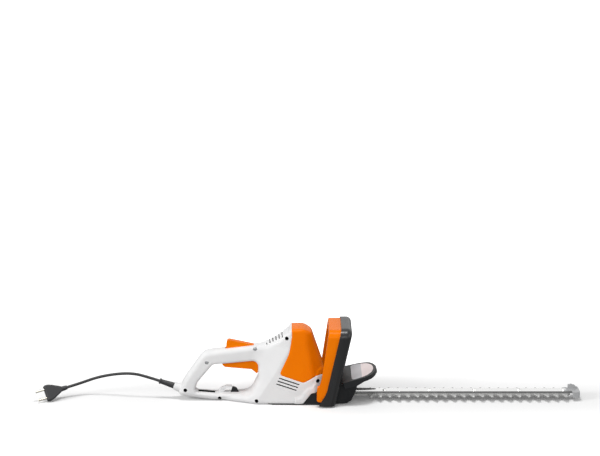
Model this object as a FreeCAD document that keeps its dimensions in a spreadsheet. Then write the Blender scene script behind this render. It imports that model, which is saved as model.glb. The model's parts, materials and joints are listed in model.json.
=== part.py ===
import FreeCAD, Part
import math
import os
from types import SimpleNamespace

import Sketcher
from FreeCAD import Matrix, Placement, Rotation, Vector

# Corded hedge trimmer lying on its base. +X points along the blade, +Z up, and the right-hand
# side of the machine is at -Y. The origin is on the floor below the crank axis.

os.makedirs("parts", exist_ok=True)
doc = FreeCAD.newDocument("hedge_trimmer")

SIZES = {
    # casing
    "wall": 2.5,
    "body_half": 43.5,
    "hood_half": 29.5,
    "hood_height": 164.2,
    "hood_front": 13.0,
    "grip_half": 17.0,
    "grip_round": 11.0,
    "loop_round": 5.5,
    "grip_top": 115.2,
    "grip_under": 81.2,
    "handle_rear": 303.0,
    "tray_height": 18.0,
    "screw_boss": 4.5,
    "counterbore": 4.1,
    "screw_seat": 6.0,
    "screw_shank": 1.6,
    "screw_head": 3.5,
    "screw_head_height": 2.4,
    "screw_reach": 9.0,
    "plate_thickness": 3.0,
    "plate_rear": 108.0,
    "plate_front": 60.0,
    "vent_width": 3.4,
    "vent_pitch": 6.6,
    "vent_count": 6,
    "side_vent_length": 46.0,
    "side_vent_width": 2.8,
    "side_vent_pitch": 6.2,
    "side_vent_count": 3,
    # drive
    "gear_module": 1.0,
    "gear_teeth": 60,
    "pinion_teeth": 10,
    "gear_floor": 23.0,
    "gear_width": 8.0,
    "mesh_play": 0.15,
    "crank_throw": 5.0,
    "eccentric_radius": 10.5,
    "axle_radius": 4.0,
    "running_fit": 0.03,
    "chamber_top": 33.0,
    "case_top": 38.0,
    "case_half": 36.0,
    "deck_height": 50.0,
    "nose_height": 44.0,
    "nose_front": 84.0,
    # motor
    "shaft_radius": 4.0,
    "shaft_nose": 2.5,
    "shaft_top": 149.0,
    "stator_radius": 29.0,
    "stator_bottom": 66.0,
    "stator_stack": 38.0,
    "air_gap": 0.5,
    "rotor_radius": 16.8,
    "coil_radius": 23.7,
    "coil_overhang": 6.0,
    "fan_radius": 26.0,
    "fan_bottom": 48.5,
    "fan_height": 8.0,
    "fan_blades": 10,
    "commutator_radius": 11.0,
    "commutator_height": 12.0,
    "commutator_bars": 24,
    "bearing_radius": 11.0,
    "bearing_height": 7.0,
    "brush_width": 5.0,
    "brush_height": 8.0,
    "brush_length": 13.0,
    # blades
    "blade_top": 15.7,
    "blade_thickness": 2.2,
    "blade_gap": 0.1,
    "spine_half": 15.0,
    "tooth_reach": 29.8,
    "tooth_root": 14.0,
    "tooth_tip": 5.0,
    "tooth_pitch": 20.0,
    "tooth_count": 22,
    "first_tooth": 113.0,
    "blade_nose": 12.0,
    "tail_rim": 4.5,
    "window_play": 0.5,
    "bar_half": 11.0,
    "bar_thickness": 4.4,
    "bar_start": 36.0,
    "bolt_radius": 2.5,
    "bolt_spacing": 97.1,
    "first_bolt": 47.4,
    "anchor_spacing": 26.0,
    "bolt_count": 6,
    "bolt_head": 4.6,
    "bolt_head_height": 1.8,
    "bolt_fit": 0.3,
    "tip_length": 12.4,
    "tip_step": 1.2,
    "tip_half": 21.0,
    "tip_fin": 11.5,
    "rivet_back": 16.0,
    # front handle and switch bow
    "hoop_half": 64.0,
    "hoop_height": 172.0,
    "hoop_lean": 12.6,
    "hoop_root": 10.3,
    "hoop_depth": 25.8,
    "hoop_front": 8.5,
    "hoop_round": 11.0,
    "hoop_inner_round": 4.0,
    "hoop_bar": 16.0,
    "hoop_corner": 20.6,
    "hoop_wall": 2.4,
    "hoop_foot": 3.5,
    "foot_floor": 12.0,
    "bow_depth": 24.0,
    "bow_overlap": 6.5,
    "bow_play": 0.5,
    "bow_drop": 2.3,
    "bow_pivot_x": 6.5,
    "bow_pivot_height": 38.0,
    "bow_boss": 9.5,
    "bow_pin": 3.0,
    # guard
    "guard_tilt": 13.9,
    "guard_rear": 50.5,
    "guard_rear_height": 53.5,
    "guard_half": 57.0,
    "guard_length": 77.0,
    "guard_plate": 3.0,
    "guard_skirt": 9.0,
    "guard_rear_skirt": 14.0,
    "label_thickness": 0.5,
    # rear controls
    "trigger_half": 9.0,
    "trigger_pivot_x": 204.0,
    "trigger_pivot_z": 89.5,
    "trigger_pin_radius": 2.0,
    "lever_half": 7.0,
    "lever_pivot_x": 147.0,
    "lever_pivot_z": 117.8,
    "lever_pin_radius": 1.5,
    "spring_play": 0.35,
    "spring_wire": 0.4,
    "slot_play": 0.5,
    # lead
    "cord_radius": 3.1,
    "sleeve_radius": 6.6,
    "sleeve_length": 53.0,
    "sleeve_neck": 5.0,
    "plug_half": 17.5,
    "plug_thickness": 15.0,
    "plug_body": 35.0,
    "plug_pin_radius": 2.4,
    "plug_pin_length": 19.0,
    "plug_pin_spacing": 19.0,
}

sheet = doc.addObject("Spreadsheet::Sheet", "dims")
for row, (name, value) in enumerate(SIZES.items(), 1):
    sheet.set(f"A{row}", str(value))
    sheet.setAlias(f"A{row}", name)
doc.recompute()
d = SimpleNamespace(**{name: float(sheet.get(name)) for name in SIZES})

nodes = []


def keep(item, label):
    """Marks a document object as a sub-part; its label names its file."""
    item.Label = label
    nodes.append(item)
    return item


# ---------------------------------------------------------------- drawing helpers

def xz(u, v):
    return Vector(u, 0, v)


def xy(u, v):
    return Vector(u, v, 0)


NORMAL = {xz: Vector(0, 1, 0), xy: Vector(0, 0, 1)}


def rounded(points, place):
    """Closed wire through (u, v, radius) corners, each corner rounded by a tangent arc."""
    count = len(points)
    corners = []
    for i, (u, v, radius) in enumerate(points):
        here = Vector(u, v, 0)
        back = (Vector(*points[i - 1][:2], 0) - here).normalize()
        ahead = (Vector(*points[(i + 1) % count][:2], 0) - here).normalize()
        if radius <= 0:
            corners.append((here, None, here))
            continue
        half = back.getAngle(ahead) / 2
        reach = radius / math.tan(half)
        middle = here + (back + ahead).normalize() * (radius / math.sin(half) - radius)
        corners.append((here + back * reach, middle, here + ahead * reach))
    edges = []
    for i, (start, middle, end) in enumerate(corners):
        if middle is not None:
            edges.append(Part.Arc(place(*start[:2]), place(*middle[:2]), place(*end[:2])).toShape())
        following = corners[(i + 1) % count][0]
        if (following - end).Length > 1e-6:
            edges.append(Part.LineSegment(place(*end[:2]), place(*following[:2])).toShape())
    return Part.Wire(edges)


def prism(points, place, low, high):
    """Solid of a rounded outline between two heights along the outline's normal."""
    face = Part.Face(rounded(points, place))
    face.translate(NORMAL[place] * low)
    return face.extrude(NORMAL[place] * (high - low))


def block(x0, x1, y0, y1, z0, z1):
    return Part.makeBox(x1 - x0, y1 - y0, z1 - z0, Vector(x0, y0, z0))


def rod(radius, start, end):
    """Cylinder between two points."""
    start = Vector(*start)
    axis = Vector(*end) - start
    return Part.makeCylinder(radius, axis.Length, start, axis)


def cone(r0, r1, start, end):
    start = Vector(*start)
    axis = Vector(*end) - start
    return Part.makeCone(r0, r1, axis.Length, start, axis)


def both(shape):
    """The shape and its mirror across the middle plane."""
    return [shape, shape.mirror(Vector(0, 0, 0), Vector(0, 1, 0))]


def join(shapes):
    shapes = list(shapes)
    return shapes[0].multiFuse(shapes[1:]).removeSplitter() if len(shapes) > 1 else shapes[0]


def edges_where(shape, test):
    return [edge for edge in shape.Edges if test(edge)]


def in_side_plane(half):
    """Picks the edges that lie in one of the planes y = +half or y = -half."""
    def test(edge):
        box = edge.BoundBox
        return box.YLength < 1e-3 and abs(abs(box.YMin) - half) < 1e-3
    return test


def feature(label, shape):
    """Keeps a shape as a sub-part, a group of separate solids as a compound."""
    item = doc.addObject("Part::Feature", label)
    solids = shape if isinstance(shape, list) else [shape]
    whole = solids[0] if len(solids) == 1 else Part.makeCompound(solids)
    item.Shape = whole
    item.Placement = whole.Placement
    return keep(item, label)


# ---------------------------------------------------------------- bound primitives

def bound(kind, name, sizes, at=("0", "0", "0"), turn=None):
    """A Part primitive whose sizes and place are expressions on the sheet."""
    item = doc.addObject(kind, name)
    if turn is not None:
        item.Placement = Placement(Vector(), turn)
    for prop, expression in sizes.items():
        item.setExpression(prop, expression)
    for axis, expression in zip("xyz", at):
        item.setExpression(f"Placement.Base.{axis}", expression)
    return item


ALONG_Y = Rotation(Vector(1, 0, 0), -90)


def cylinder(name, radius, height, at, turn=None):
    return bound("Part::Cylinder", name, {"Radius": radius, "Height": height}, at, turn)


def cuboid(name, length, width, height, at):
    return bound("Part::Box", name, {"Length": length, "Width": width, "Height": height}, at)


def cut(name, base, tool):
    item = doc.addObject("Part::Cut", name)
    item.Base = base
    item.Tool = tool
    return item


# ---------------------------------------------------------------- PartDesign helpers

def new_body(label):
    body = doc.addObject("PartDesign::Body", label)
    return keep(body, label)


def sketch_on(body, name, role, lift=None):
    """An empty sketch on one of the body's own origin planes, lifted along its normal."""
    sketch = body.newObject("Sketcher::SketchObject", name)
    plane = next(item for item in body.Origin.OriginFeatures if item.Role == role)
    sketch.AttachmentSupport = (plane, [""])
    sketch.MapMode = "FlatFace"
    if lift:
        sketch.setExpression("AttachmentOffset.Base.z", lift)
    return sketch


def draw_polygon(sketch, corners):
    """A closed outline whose corners are pairs of sheet expressions."""
    first = len(sketch.Geometry)
    count = len(corners)
    ring = [Vector(math.cos(2 * math.pi * i / count), math.sin(2 * math.pi * i / count), 0)
            for i in range(count)]
    for i in range(count):
        sketch.addGeometry(Part.LineSegment(ring[i], ring[(i + 1) % count]))
    for i in range(count):
        sketch.addConstraint(Sketcher.Constraint("Coincident", first + i, 2,
                                                 first + (i + 1) % count, 1))
    for i, corner in enumerate(corners):
        for kind, expression in zip(("DistanceX", "DistanceY"), corner):
            index = sketch.addConstraint(Sketcher.Constraint(kind, -1, 1, first + i, 1, 1.0))
            sketch.setExpression(f"Constraints[{index}]", expression)


def draw_circle(sketch, u, v, radius):
    index = sketch.addGeometry(Part.Circle(Vector(1, 1, 0), Vector(0, 0, 1), 1.0))
    for kind, expression in (("DistanceX", u), ("DistanceY", v)):
        row = sketch.addConstraint(Sketcher.Constraint(kind, -1, 1, index, 3, 1.0))
        sketch.setExpression(f"Constraints[{row}]", expression)
    row = sketch.addConstraint(Sketcher.Constraint("Radius", index, 1.0))
    sketch.setExpression(f"Constraints[{row}]", radius)


def pad(body, sketch, name, length):
    item = body.newObject("PartDesign::Pad", name)
    item.Profile = sketch
    item.setExpression("Length", length)
    return item


def pocket(body, sketch, name, length):
    """Cuts upwards from the sketch."""
    item = body.newObject("PartDesign::Pocket", name)
    item.Profile = sketch
    item.Reversed = True
    item.setExpression("Length", length)
    return item


def row_of(body, original, name, spacing, count):
    """Repeats a feature along X."""
    item = body.newObject("PartDesign::LinearPattern", name)
    item.Originals = [original]
    axis = next(part for part in body.Origin.OriginFeatures if part.Role == "X_Axis")
    item.Direction = (axis, [""])
    item.setExpression("Occurrences", count)
    item.setExpression("Length", f"({spacing}) * ({count} - 1)")
    body.Tip = item
    return item


# ---------------------------------------------------------------- shared places

MOTOR_X = -(d.gear_module * (d.gear_teeth + d.pinion_teeth) / 2 + d.mesh_play)
MOTOR_X_BOUND = "-(dims.gear_module * (dims.gear_teeth + dims.pinion_teeth) / 2 + dims.mesh_play)"
UPPER_FLOOR = "dims.blade_top - dims.blade_thickness"
LOWER_FLOOR = "dims.blade_top - 2 * dims.blade_thickness - dims.blade_gap"
WINDOW_RADIUS = "dims.eccentric_radius + 2 * dims.crank_throw + dims.window_play"
BAR_FLOOR = "dims.blade_top + dims.blade_gap"
ANCHOR = "dims.first_bolt + dims.anchor_spacing"
LAST_TOOTH = "dims.first_tooth + dims.tooth_pitch * (dims.tooth_count - 1)"
BLADE_END = f"{LAST_TOOTH} + dims.blade_nose"
bar_top = d.blade_top + d.blade_gap + d.bar_thickness
lower_floor = d.blade_top - 2 * d.blade_thickness - d.blade_gap
blade_end = d.first_tooth + d.tooth_pitch * (d.tooth_count - 1) + d.blade_nose
stator_top = d.stator_bottom + d.stator_stack
tan_lean = math.tan(math.radians(d.hoop_lean))

# Casing screws: places of their axes, which run across the machine.
CASING_SCREWS = [
    (-286.5, 24.0), (-241.0, 86.0), (-135.5, 116.0), (-67.0, 144.0),
    (-213.5, 6.8), (-132.4, 8.0), (-0.5, 53.0),
]

# ---------------------------------------------------------------- casing form

HANDLE_OUTLINE = [
    (-d.handle_rear, 8, 12), (-228, 0, 70), (-90, 0, 12), (-90, 137.5, 12), (-122, 126, 60),
    (-205, d.grip_top, 80), (-247, d.grip_top - 5.7, 30), (-d.handle_rear + 16, 52, 120),
]
FINGER_LOOP = [
    (-268, d.tray_height - 0.5, 7), (-145, d.tray_height + 2, 20), (-128.5, 54, 28),
    (-129, d.grip_under + 9.5, 13), (-227, d.grip_under, 12), (-261, 40.5, 25),
]
SIDE_OUTLINE = [
    (-240, 0, 0), (d.hood_front, 0, 0), (d.hood_front, 74, 6), (-15, d.hood_height - 7.7, 14),
    (-32, d.hood_height, 30), (-59, d.hood_height, 0), (-64, d.hood_height - 7.2, 0),
    (-84, d.hood_height - 20.5, 40), (-120, 125.5, 40), (-240, 112, 0),
]
HULL_BOTTOM = [
    (-232, 16), (-191, 27), (-158, d.body_half - 7), (-115, d.body_half - 1.5),
    (-60, d.body_half), (0, d.body_half), (14, d.body_half - 9.5),
]
HULL_TOP = [
    (-130, 13), (-115, 16), (-100, 20.5), (-85, d.hood_half - 5), (-60, d.hood_half),
    (-30, d.hood_half), (-12, d.hood_half - 11.5),
]
HOOD_REGION = [
    (-58, d.hood_height + 15, 0), (-56, d.hood_height - 15.5, 60), (-62, 112, 80), (-83.5, 66, 6),
    (-31, 48, 12), (-5, 63, 20), (30, 67, 0), (30, d.hood_height + 15, 0),
]
DARK_REGION = [
    (-d.plate_rear, -5, 0), (-d.plate_rear, d.plate_thickness, 0), (-33, d.plate_thickness, 8),
    (-15, 26, 8), (-4, 28, 6), (5, 43, 20), (10, 66, 0), (40, 66, 0), (40, -5, 0),
]


def offset_face(points, inset):
    face = Part.Face(rounded(points, xz))
    return face.makeOffset2D(-inset) if inset else face


def thick(face, half):
    """A flat side outline made solid, as far to each side of the middle plane."""
    face = face.copy()
    face.translate(Vector(0, -half, 0))
    return face.extrude(Vector(0, 2 * half, 0))


def handle_slab(inset):
    half = d.grip_half - inset
    slab = thick(offset_face(HANDLE_OUTLINE, inset), half)
    slab = slab.makeFillet(d.grip_round - inset, edges_where(slab, in_side_plane(half)))
    loop = thick(offset_face(FINGER_LOOP, -inset), half + 5)
    slab = slab.cut(loop)
    rim = [edge for edge in edges_where(slab, in_side_plane(half)) if touches(edge, loop)]
    return slab.makeFillet(d.loop_round - inset, rim)


def touches(edge, solid):
    return solid.distToShape(Part.Vertex(edge.valueAt(edge.FirstParameter)))[0] < 0.01


def hull_ring(points, height, inset):
    """Plan section of the body hull, mirrored across the middle plane."""
    right = [Vector(x + (inset if i == 0 else 0) - (inset if i == len(points) - 1 else 0),
                    -(half - inset), height) for i, (x, half) in enumerate(points)]
    left = [Vector(point.x, -point.y, height) for point in reversed(right)]
    corners = right + left
    return Part.makePolygon(corners + corners[:1])


def body_hull(inset):
    hull = Part.makeLoft([hull_ring(HULL_BOTTOM, 0, inset),
                          hull_ring(HULL_TOP, d.hood_height + 1, inset)], True, True)
    hull = hull.common(thick(offset_face(SIDE_OUTLINE, inset), 2 * d.body_half))
    return hull.cut(thick(offset_face(FINGER_LOOP, -inset), 2 * d.body_half))


def across(points, low=-200.0, high=200.0):
    return prism(points, xz, low, high)


envelope = handle_slab(0).fuse(body_hull(0)).removeSplitter()
cavity = handle_slab(d.wall).fuse(body_hull(d.wall))
hood_region = across(HOOD_REGION)
dark_region = across(DARK_REGION)

# Sleeve of the lead: it leaves the casing upwards at the rear.
SLEEVE_SLOPE = math.radians(19.2)
sleeve_out = Vector(-math.cos(SLEEVE_SLOPE), 0, math.sin(SLEEVE_SLOPE))
sleeve_end = Vector(-343.5, 0, 40.4)
sleeve_root = sleeve_end - sleeve_out * d.sleeve_length


def along_sleeve(distance):
    return sleeve_root + sleeve_out * distance


def casing_shell():
    """Both halves of the white casing in one piece, before they are parted."""
    white = envelope.cut(hood_region).cut(dark_region)
    stub = cone(d.sleeve_radius + 3, d.sleeve_radius + 1.2, along_sleeve(0), along_sleeve(17))
    shell = white.cut(cavity).fuse(stub)
    bosses = [rod(d.screw_boss, (x, -d.body_half, z), (x, d.body_half, z)).common(white)
              for x, z in CASING_SCREWS]
    hanger_block = block(-265, -219, -d.body_half, d.body_half, -1, d.tray_height + 1).common(white)
    hook = across([(-219, d.tray_height - 2, 0), (-211, 27.5, 6), (-197, 34, 8), (-184, 32.5, 2),
                   (-184.5, 27.5, 1), (-196, 26.5, 4), (-203, d.tray_height - 2, 0)], -6, 6)
    shell = join([shell, hanger_block, hook] + bosses)
    cuts = [
        rod(d.sleeve_radius, along_sleeve(-6), along_sleeve(30)),
        across([(-260, 6, 3), (-222.5, 6, 3), (-222.5, 40, 0), (-260, 40, 0)], -6.5, 6.5),
        block(-213, -125.5, -d.trigger_half - d.slot_play, d.trigger_half + d.slot_play, 60, 95),
        block(-202, -134, -d.lever_half - d.slot_play, d.lever_half + d.slot_play, 110.5, 140),
        block(-61, 40, -d.case_half - 0.8, d.case_half + 0.8, -1, d.case_top + 2),
        rod(d.trigger_pin_radius, (-d.trigger_pivot_x, -d.grip_half + 2.2, d.trigger_pivot_z),
            (-d.trigger_pivot_x, d.grip_half - 2.2, d.trigger_pivot_z)),
        rod(d.lever_pin_radius, (-d.lever_pivot_x, -d.grip_half + 3.2, d.lever_pivot_z),
            (-d.lever_pivot_x, d.grip_half - 3.2, d.lever_pivot_z)),
        cavity.common(block(-61, 40, -60, 60, 0, 60)),
    ]
    for x, z in CASING_SCREWS:
        cuts.append(rod(d.counterbore, (x, -60, z), (x, -d.screw_seat, z)))
        cuts.append(rod(d.screw_shank, (x, -d.screw_seat, z), (x, d.screw_reach, z)))
    cuts += vents()
    return shell.cut(Part.makeCompound(cuts))


def vents():
    """Cutters of the inlet slots along the crest and the outlet slots on the flanks."""
    tools = []
    for i in range(int(d.vent_count)):
        x = -111.3 + d.vent_pitch * i
        low = 121.5 + 3.4 * i
        tall = 7.5 + 0.9 * i
        slot = [(x, low, 0), (x + d.vent_width, low, 0),
                (x + d.vent_width - 2, low + tall, 0), (x - 2, low + tall, 0)]
        tools += both(across(slot, 7.0, 60))
    slope = math.radians(18.1)
    for i in range(int(d.side_vent_count)):
        half = d.side_vent_length / 2
        slot = [(-half, -d.side_vent_width / 2, 1.2), (half, -d.side_vent_width / 2, 1.2),
                (half, d.side_vent_width / 2, 1.2), (-half, d.side_vent_width / 2, 1.2)]
        tool = across(slot, d.case_half - 3, 60)
        tool.rotate(Vector(), Vector(0, 1, 0), math.degrees(slope))
        tool.translate(Vector(-62 - 3.2 * i, 0, 51.7 - d.side_vent_pitch * i))
        tools += both(tool)
    return tools


shell = casing_shell()
right_half = block(-400, 100, -100, 0, -10, 300)
left_half = block(-400, 100, 0, 100, -10, 300)
feature("right_housing_shell", shell.common(right_half))
feature("left_housing_shell", shell.common(left_half))
hood = envelope.common(hood_region).cut(cavity)
feature("motor_hood", hood)


def screw(x, z):
    head = rod(d.screw_head, (x, -d.screw_seat - d.screw_head_height, z), (x, -d.screw_seat, z))
    cross = block(x - 2, x + 2, -d.screw_seat - d.screw_head_height, -d.screw_seat - 1.2,
                  z - 0.5, z + 0.5)
    turned = cross.copy()
    turned.rotate(Vector(x, 0, z), Vector(0, 1, 0), 90)
    shank = rod(d.screw_shank, (x, -d.screw_seat, z), (x, d.screw_reach, z))
    return head.fuse(shank).cut(cross).cut(turned)


feature("housing_screws", [screw(x, z) for x, z in CASING_SCREWS])

hook_lip = across([(-190, d.tray_height + 0.1, 0.5), (-184.6, 21, 2), (-184, 28.5, 0.5), (-177, 25.5, 4),
                   (-170.5, d.tray_height + 1.2, 0.5)], -6, 6)
feature("cord_hook_lip", hook_lip.cut(envelope).cut(shell))

# ---------------------------------------------------------------- gear case and bottom plate

CASE_PLAN = [
    (-36, -d.body_half, 0), (6, -d.body_half, 8), (62, -d.body_half + 5, 20),
    (d.nose_front, -26, 10), (d.nose_front, 26, 10), (62, d.body_half - 5, 20),
    (6, d.body_half, 8), (-36, d.body_half, 0),
]
CASE_SIDE = [
    (-33, d.plate_thickness, 0), (-15, 26, 8), (-4, 28, 6), (5, 43, 12),
    (8, d.deck_height, 2), (48, d.deck_height, 0), (48, d.nose_height, 0),
    (d.nose_front, d.nose_height, 3), (d.nose_front, 34, 10), (d.nose_front - 7, 19, 14),
    (d.nose_front - 13.5, 7, 8), (d.plate_front + 2, d.plate_thickness, 3),
]
PLATE_SCREWS = [(-48.0, -28.0), (-48.0, 28.0), (50.0, -28.0), (50.0, 28.0)]
GUARD_SCREWS = [(80.0, -14.0), (80.0, 14.0)]
HANDLE_SCREWS = [(36.0, -26.0), (36.0, 26.0)]
ANCHOR_SCREWS = [d.first_bolt, d.first_bolt + d.anchor_spacing]
tail_half = d.eccentric_radius + 2 * d.crank_throw + d.window_play + d.tail_rim
boss_top = d.case_top + d.bearing_height + 0.8


POST_ANGLES = (45, 135, 225, 315)


def post_about_motor(angle, distance, radius, low, high):
    turned = math.radians(angle)
    x = MOTOR_X + distance * math.cos(turned)
    y = distance * math.sin(turned)
    return rod(radius, (x, y, low), (x, y, high))


def gear_case():
    outer = prism(CASE_PLAN, xy, d.plate_thickness, d.deck_height).common(
        across(CASE_SIDE, -d.body_half, d.body_half))
    inner_box = block(-58, 8, -d.case_half, d.case_half, d.plate_thickness, d.case_top)
    bearing_boss = rod(d.bearing_radius + 3, (MOTOR_X, 0, d.case_top - 1), (MOTOR_X, 0, boss_top))
    posts = [post_about_motor(angle, d.stator_radius + 0.2, 2.5, d.case_top - 1, d.stator_bottom)
             for angle in POST_ANGLES]
    case = join([outer, inner_box, bearing_boss] + posts)
    case = case.cut(shell).cut(hood)
    floor = d.plate_thickness - 1
    roof = bar_top
    tools = [
        rod(d.gear_module * d.gear_teeth / 2 + 4, (0, 0, floor), (0, 0, d.chamber_top)),
        rod(d.gear_module * d.pinion_teeth / 2 + 4, (MOTOR_X, 0, floor), (MOTOR_X, 0, d.chamber_top)),
        rod(d.shaft_radius + 1, (MOTOR_X, 0, floor), (MOTOR_X, 0, boss_top + 1)),
        rod(d.bearing_radius, (MOTOR_X, 0, d.case_top + 0.8), (MOTOR_X, 0, boss_top + 1)),
        rod(d.axle_radius, (0, 0, d.chamber_top - 1), (0, 0, d.chamber_top + 3)),
        block(0, 40, -tail_half - 2, tail_half + 2, floor, roof),
        block(0, d.nose_front + 5, -d.spine_half - 4, d.spine_half + 4, lower_floor - 4.4, roof),
    ]
    tools += both(rod(d.bow_pin, (d.bow_pivot_x, d.chamber_top + 1, d.bow_pivot_height),
                      (d.bow_pivot_x, 60, d.bow_pivot_height)))
    for side in (-1, 1):
        tools.append(block(54, d.nose_front - 5, min(side * 8, side * 24), max(side * 8, side * 24),
                           roof + 4, d.nose_height + 1))
    for x, y in PLATE_SCREWS:
        tools.append(rod(1.7, (x, y, floor), (x, y, 18)))
    for x, y in GUARD_SCREWS:
        tools.append(rod(1.6, (x, y, d.nose_height - 9), (x, y, d.nose_height + 1)))
    for x, y in HANDLE_SCREWS:
        tools.append(rod(1.9, (x, y, d.deck_height - 14), (x, y, d.deck_height + 1)))
    for x in ANCHOR_SCREWS:
        tools.append(rod(d.bolt_radius, (x, 0, roof - 1), (x, 0, roof + 14)))
        tools.append(rod(d.bolt_head + 0.6, (x, 0, floor), (x, 0, lower_floor)))
    return case.cut(Part.makeCompound(tools))


feature("gear_case", gear_case())

plate = new_body("bottom_plate")
plate_sketch = sketch_on(plate, "plate_plan", "XY_Plane")
draw_polygon(plate_sketch, [
    ("-dims.plate_rear", "-dims.body_half + 9"), ("-dims.plate_rear + 10", "-dims.body_half + 1.5"),
    ("-40", "-dims.body_half"), ("6", "-dims.body_half"), ("dims.plate_front", "-30"),
    ("dims.plate_front", "30"), ("6", "dims.body_half"), ("-40", "dims.body_half"),
    ("-dims.plate_rear + 10", "dims.body_half - 1.5"), ("-dims.plate_rear", "dims.body_half - 9"),
])
pad(plate, plate_sketch, "plate_slab", "dims.plate_thickness")
doc.recompute()
for reach, (name, radius) in enumerate((("plate_shanks", "1.7"), ("plate_heads", "3.6"))):
    holes = sketch_on(plate, name, "XY_Plane")
    for x, y in PLATE_SCREWS:
        draw_circle(holes, str(x), str(y), radius)
    pocket(plate, holes, name + "_cut", "dims.plate_thickness" if reach == 0 else "2.2")
    doc.recompute()

feature("bottom_plate_screws", [
    rod(3.4, (x, y, 0.2), (x, y, 2.2)).fuse(rod(1.6, (x, y, 2.2), (x, y, 17)))
    for x, y in PLATE_SCREWS])

# ---------------------------------------------------------------- motor

SOLID_AXIS = (MOTOR_X_BOUND, "0")

shaft = new_body("motor_shaft")
shaft_sketch = sketch_on(shaft, "shaft_profile", "XZ_Plane")
draw_polygon(shaft_sketch, [
    ("0", "dims.gear_floor - 1"), ("dims.shaft_nose", "dims.gear_floor - 1"),
    ("dims.shaft_nose", "dims.gear_floor + dims.gear_width + 1"),
    ("dims.shaft_radius", "dims.gear_floor + dims.gear_width + 1"),
    ("dims.shaft_radius", "dims.shaft_top"), ("0", "dims.shaft_top"),
])
turn = shaft.newObject("PartDesign::Revolution", "shaft_turning")
turn.Profile = shaft_sketch
turn.ReferenceAxis = (shaft_sketch, ["V_Axis"])
turn.Angle = 360
shaft.setExpression("Placement.Base.x", MOTOR_X_BOUND)

core = new_body("armature_core")
core_sketch = sketch_on(core, "core_plan", "XY_Plane", "dims.stator_bottom")
draw_circle(core_sketch, "0", "0", "dims.rotor_radius")
draw_circle(core_sketch, "0", "0", "dims.shaft_radius")
pad(core, core_sketch, "core_stack", "dims.stator_stack")
doc.recompute()
slot_sketch = sketch_on(core, "core_slot", "XY_Plane", "dims.stator_bottom")
draw_polygon(slot_sketch, [("dims.rotor_radius - 8", "-1.5"), ("dims.rotor_radius + 1", "-1.5"),
                           ("dims.rotor_radius + 1", "1.5"), ("dims.rotor_radius - 8", "1.5")])
slot_cut = pocket(core, slot_sketch, "core_slot_cut", "dims.stator_stack")
doc.recompute()
ROTOR_SLOTS = 12
slots = core.newObject("PartDesign::PolarPattern", "core_slots")
slots.Originals = [slot_cut]
slots.Axis = (core_sketch, ["N_Axis"])
slots.Angle = 360
slots.Occurrences = ROTOR_SLOTS
core.Tip = slots
core.setExpression("Placement.Base.x", MOTOR_X_BOUND)


def sector(r0, r1, a0, a1, z0, z1):
    """Ring sector about the motor axis between two angles in degrees."""
    ring = Part.makeCylinder(r1, z1 - z0, Vector(0, 0, z0), Vector(0, 0, 1), a1 - a0)
    ring = ring.cut(Part.makeCylinder(r0, z1 - z0 + 2, Vector(0, 0, z0 - 1)))
    ring.rotate(Vector(), Vector(0, 0, 1), a0)
    ring.translate(Vector(MOTOR_X, 0, 0))
    return ring


def armature_windings():
    inner = d.shaft_radius + 1
    outer = d.rotor_radius - 1.3
    heads = [sector(inner, outer, 0, 360, stator_top, stator_top + d.coil_overhang),
             sector(inner, outer, 0, 360, d.stator_bottom - d.coil_overhang, d.stator_bottom)]
    bars = []
    for i in range(ROTOR_SLOTS):
        bar = block(d.rotor_radius - 8, outer, -1.5, 1.5, d.stator_bottom, stator_top)
        bar.rotate(Vector(), Vector(0, 0, 1), 360 / ROTOR_SLOTS * i)
        bar.translate(Vector(MOTOR_X, 0, 0))
        bars.append(bar)
    return join(heads + bars)


feature("armature_windings", armature_windings())

commutator = new_body("commutator")
COMMUTATOR_FLOOR = "dims.stator_bottom + dims.stator_stack + dims.coil_overhang + 4"
com_sketch = sketch_on(commutator, "commutator_plan", "XY_Plane", COMMUTATOR_FLOOR)
draw_circle(com_sketch, "0", "0", "dims.commutator_radius")
draw_circle(com_sketch, "0", "0", "dims.shaft_radius")
pad(commutator, com_sketch, "commutator_ring", "dims.commutator_height")
doc.recompute()
slit_sketch = sketch_on(commutator, "commutator_slit", "XY_Plane", COMMUTATOR_FLOOR)
draw_polygon(slit_sketch, [("dims.commutator_radius - 1.5", "-0.3"), ("dims.commutator_radius + 1", "-0.3"),
                           ("dims.commutator_radius + 1", "0.3"), ("dims.commutator_radius - 1.5", "0.3")])
slit_cut = pocket(commutator, slit_sketch, "commutator_slit_cut", "dims.commutator_height")
doc.recompute()
slits = commutator.newObject("PartDesign::PolarPattern", "commutator_slits")
slits.Originals = [slit_cut]
slits.Axis = (com_sketch, ["N_Axis"])
slits.Angle = 360
slits.setExpression("Occurrences", "dims.commutator_bars")
commutator.Tip = slits
commutator.setExpression("Placement.Base.x", MOTOR_X_BOUND)


def cooling_fan():
    top = d.fan_bottom + d.fan_height
    disc = rod(d.fan_radius, (0, 0, d.fan_bottom), (0, 0, d.fan_bottom + 1.8))
    hub = rod(d.shaft_radius + 4, (0, 0, d.fan_bottom), (0, 0, top))
    blades = []
    for i in range(int(d.fan_blades)):
        blade = block(d.shaft_radius + 2, d.fan_radius, -0.8, 0.8, d.fan_bottom, top)
        blade.rotate(Vector(d.shaft_radius + 2, 0, 0), Vector(0, 0, 1), 18)
        blade = blade.common(rod(d.fan_radius, (0, 0, d.fan_bottom), (0, 0, top)))
        blade.rotate(Vector(), Vector(0, 0, 1), 360 / int(d.fan_blades) * i)
        blades.append(blade)
    fan = join([disc, hub] + blades).cut(rod(d.shaft_radius, (0, 0, 0), (0, 0, top + 1)))
    fan.translate(Vector(MOTOR_X, 0, 0))
    return fan


feature("cooling_fan", cooling_fan())


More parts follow.
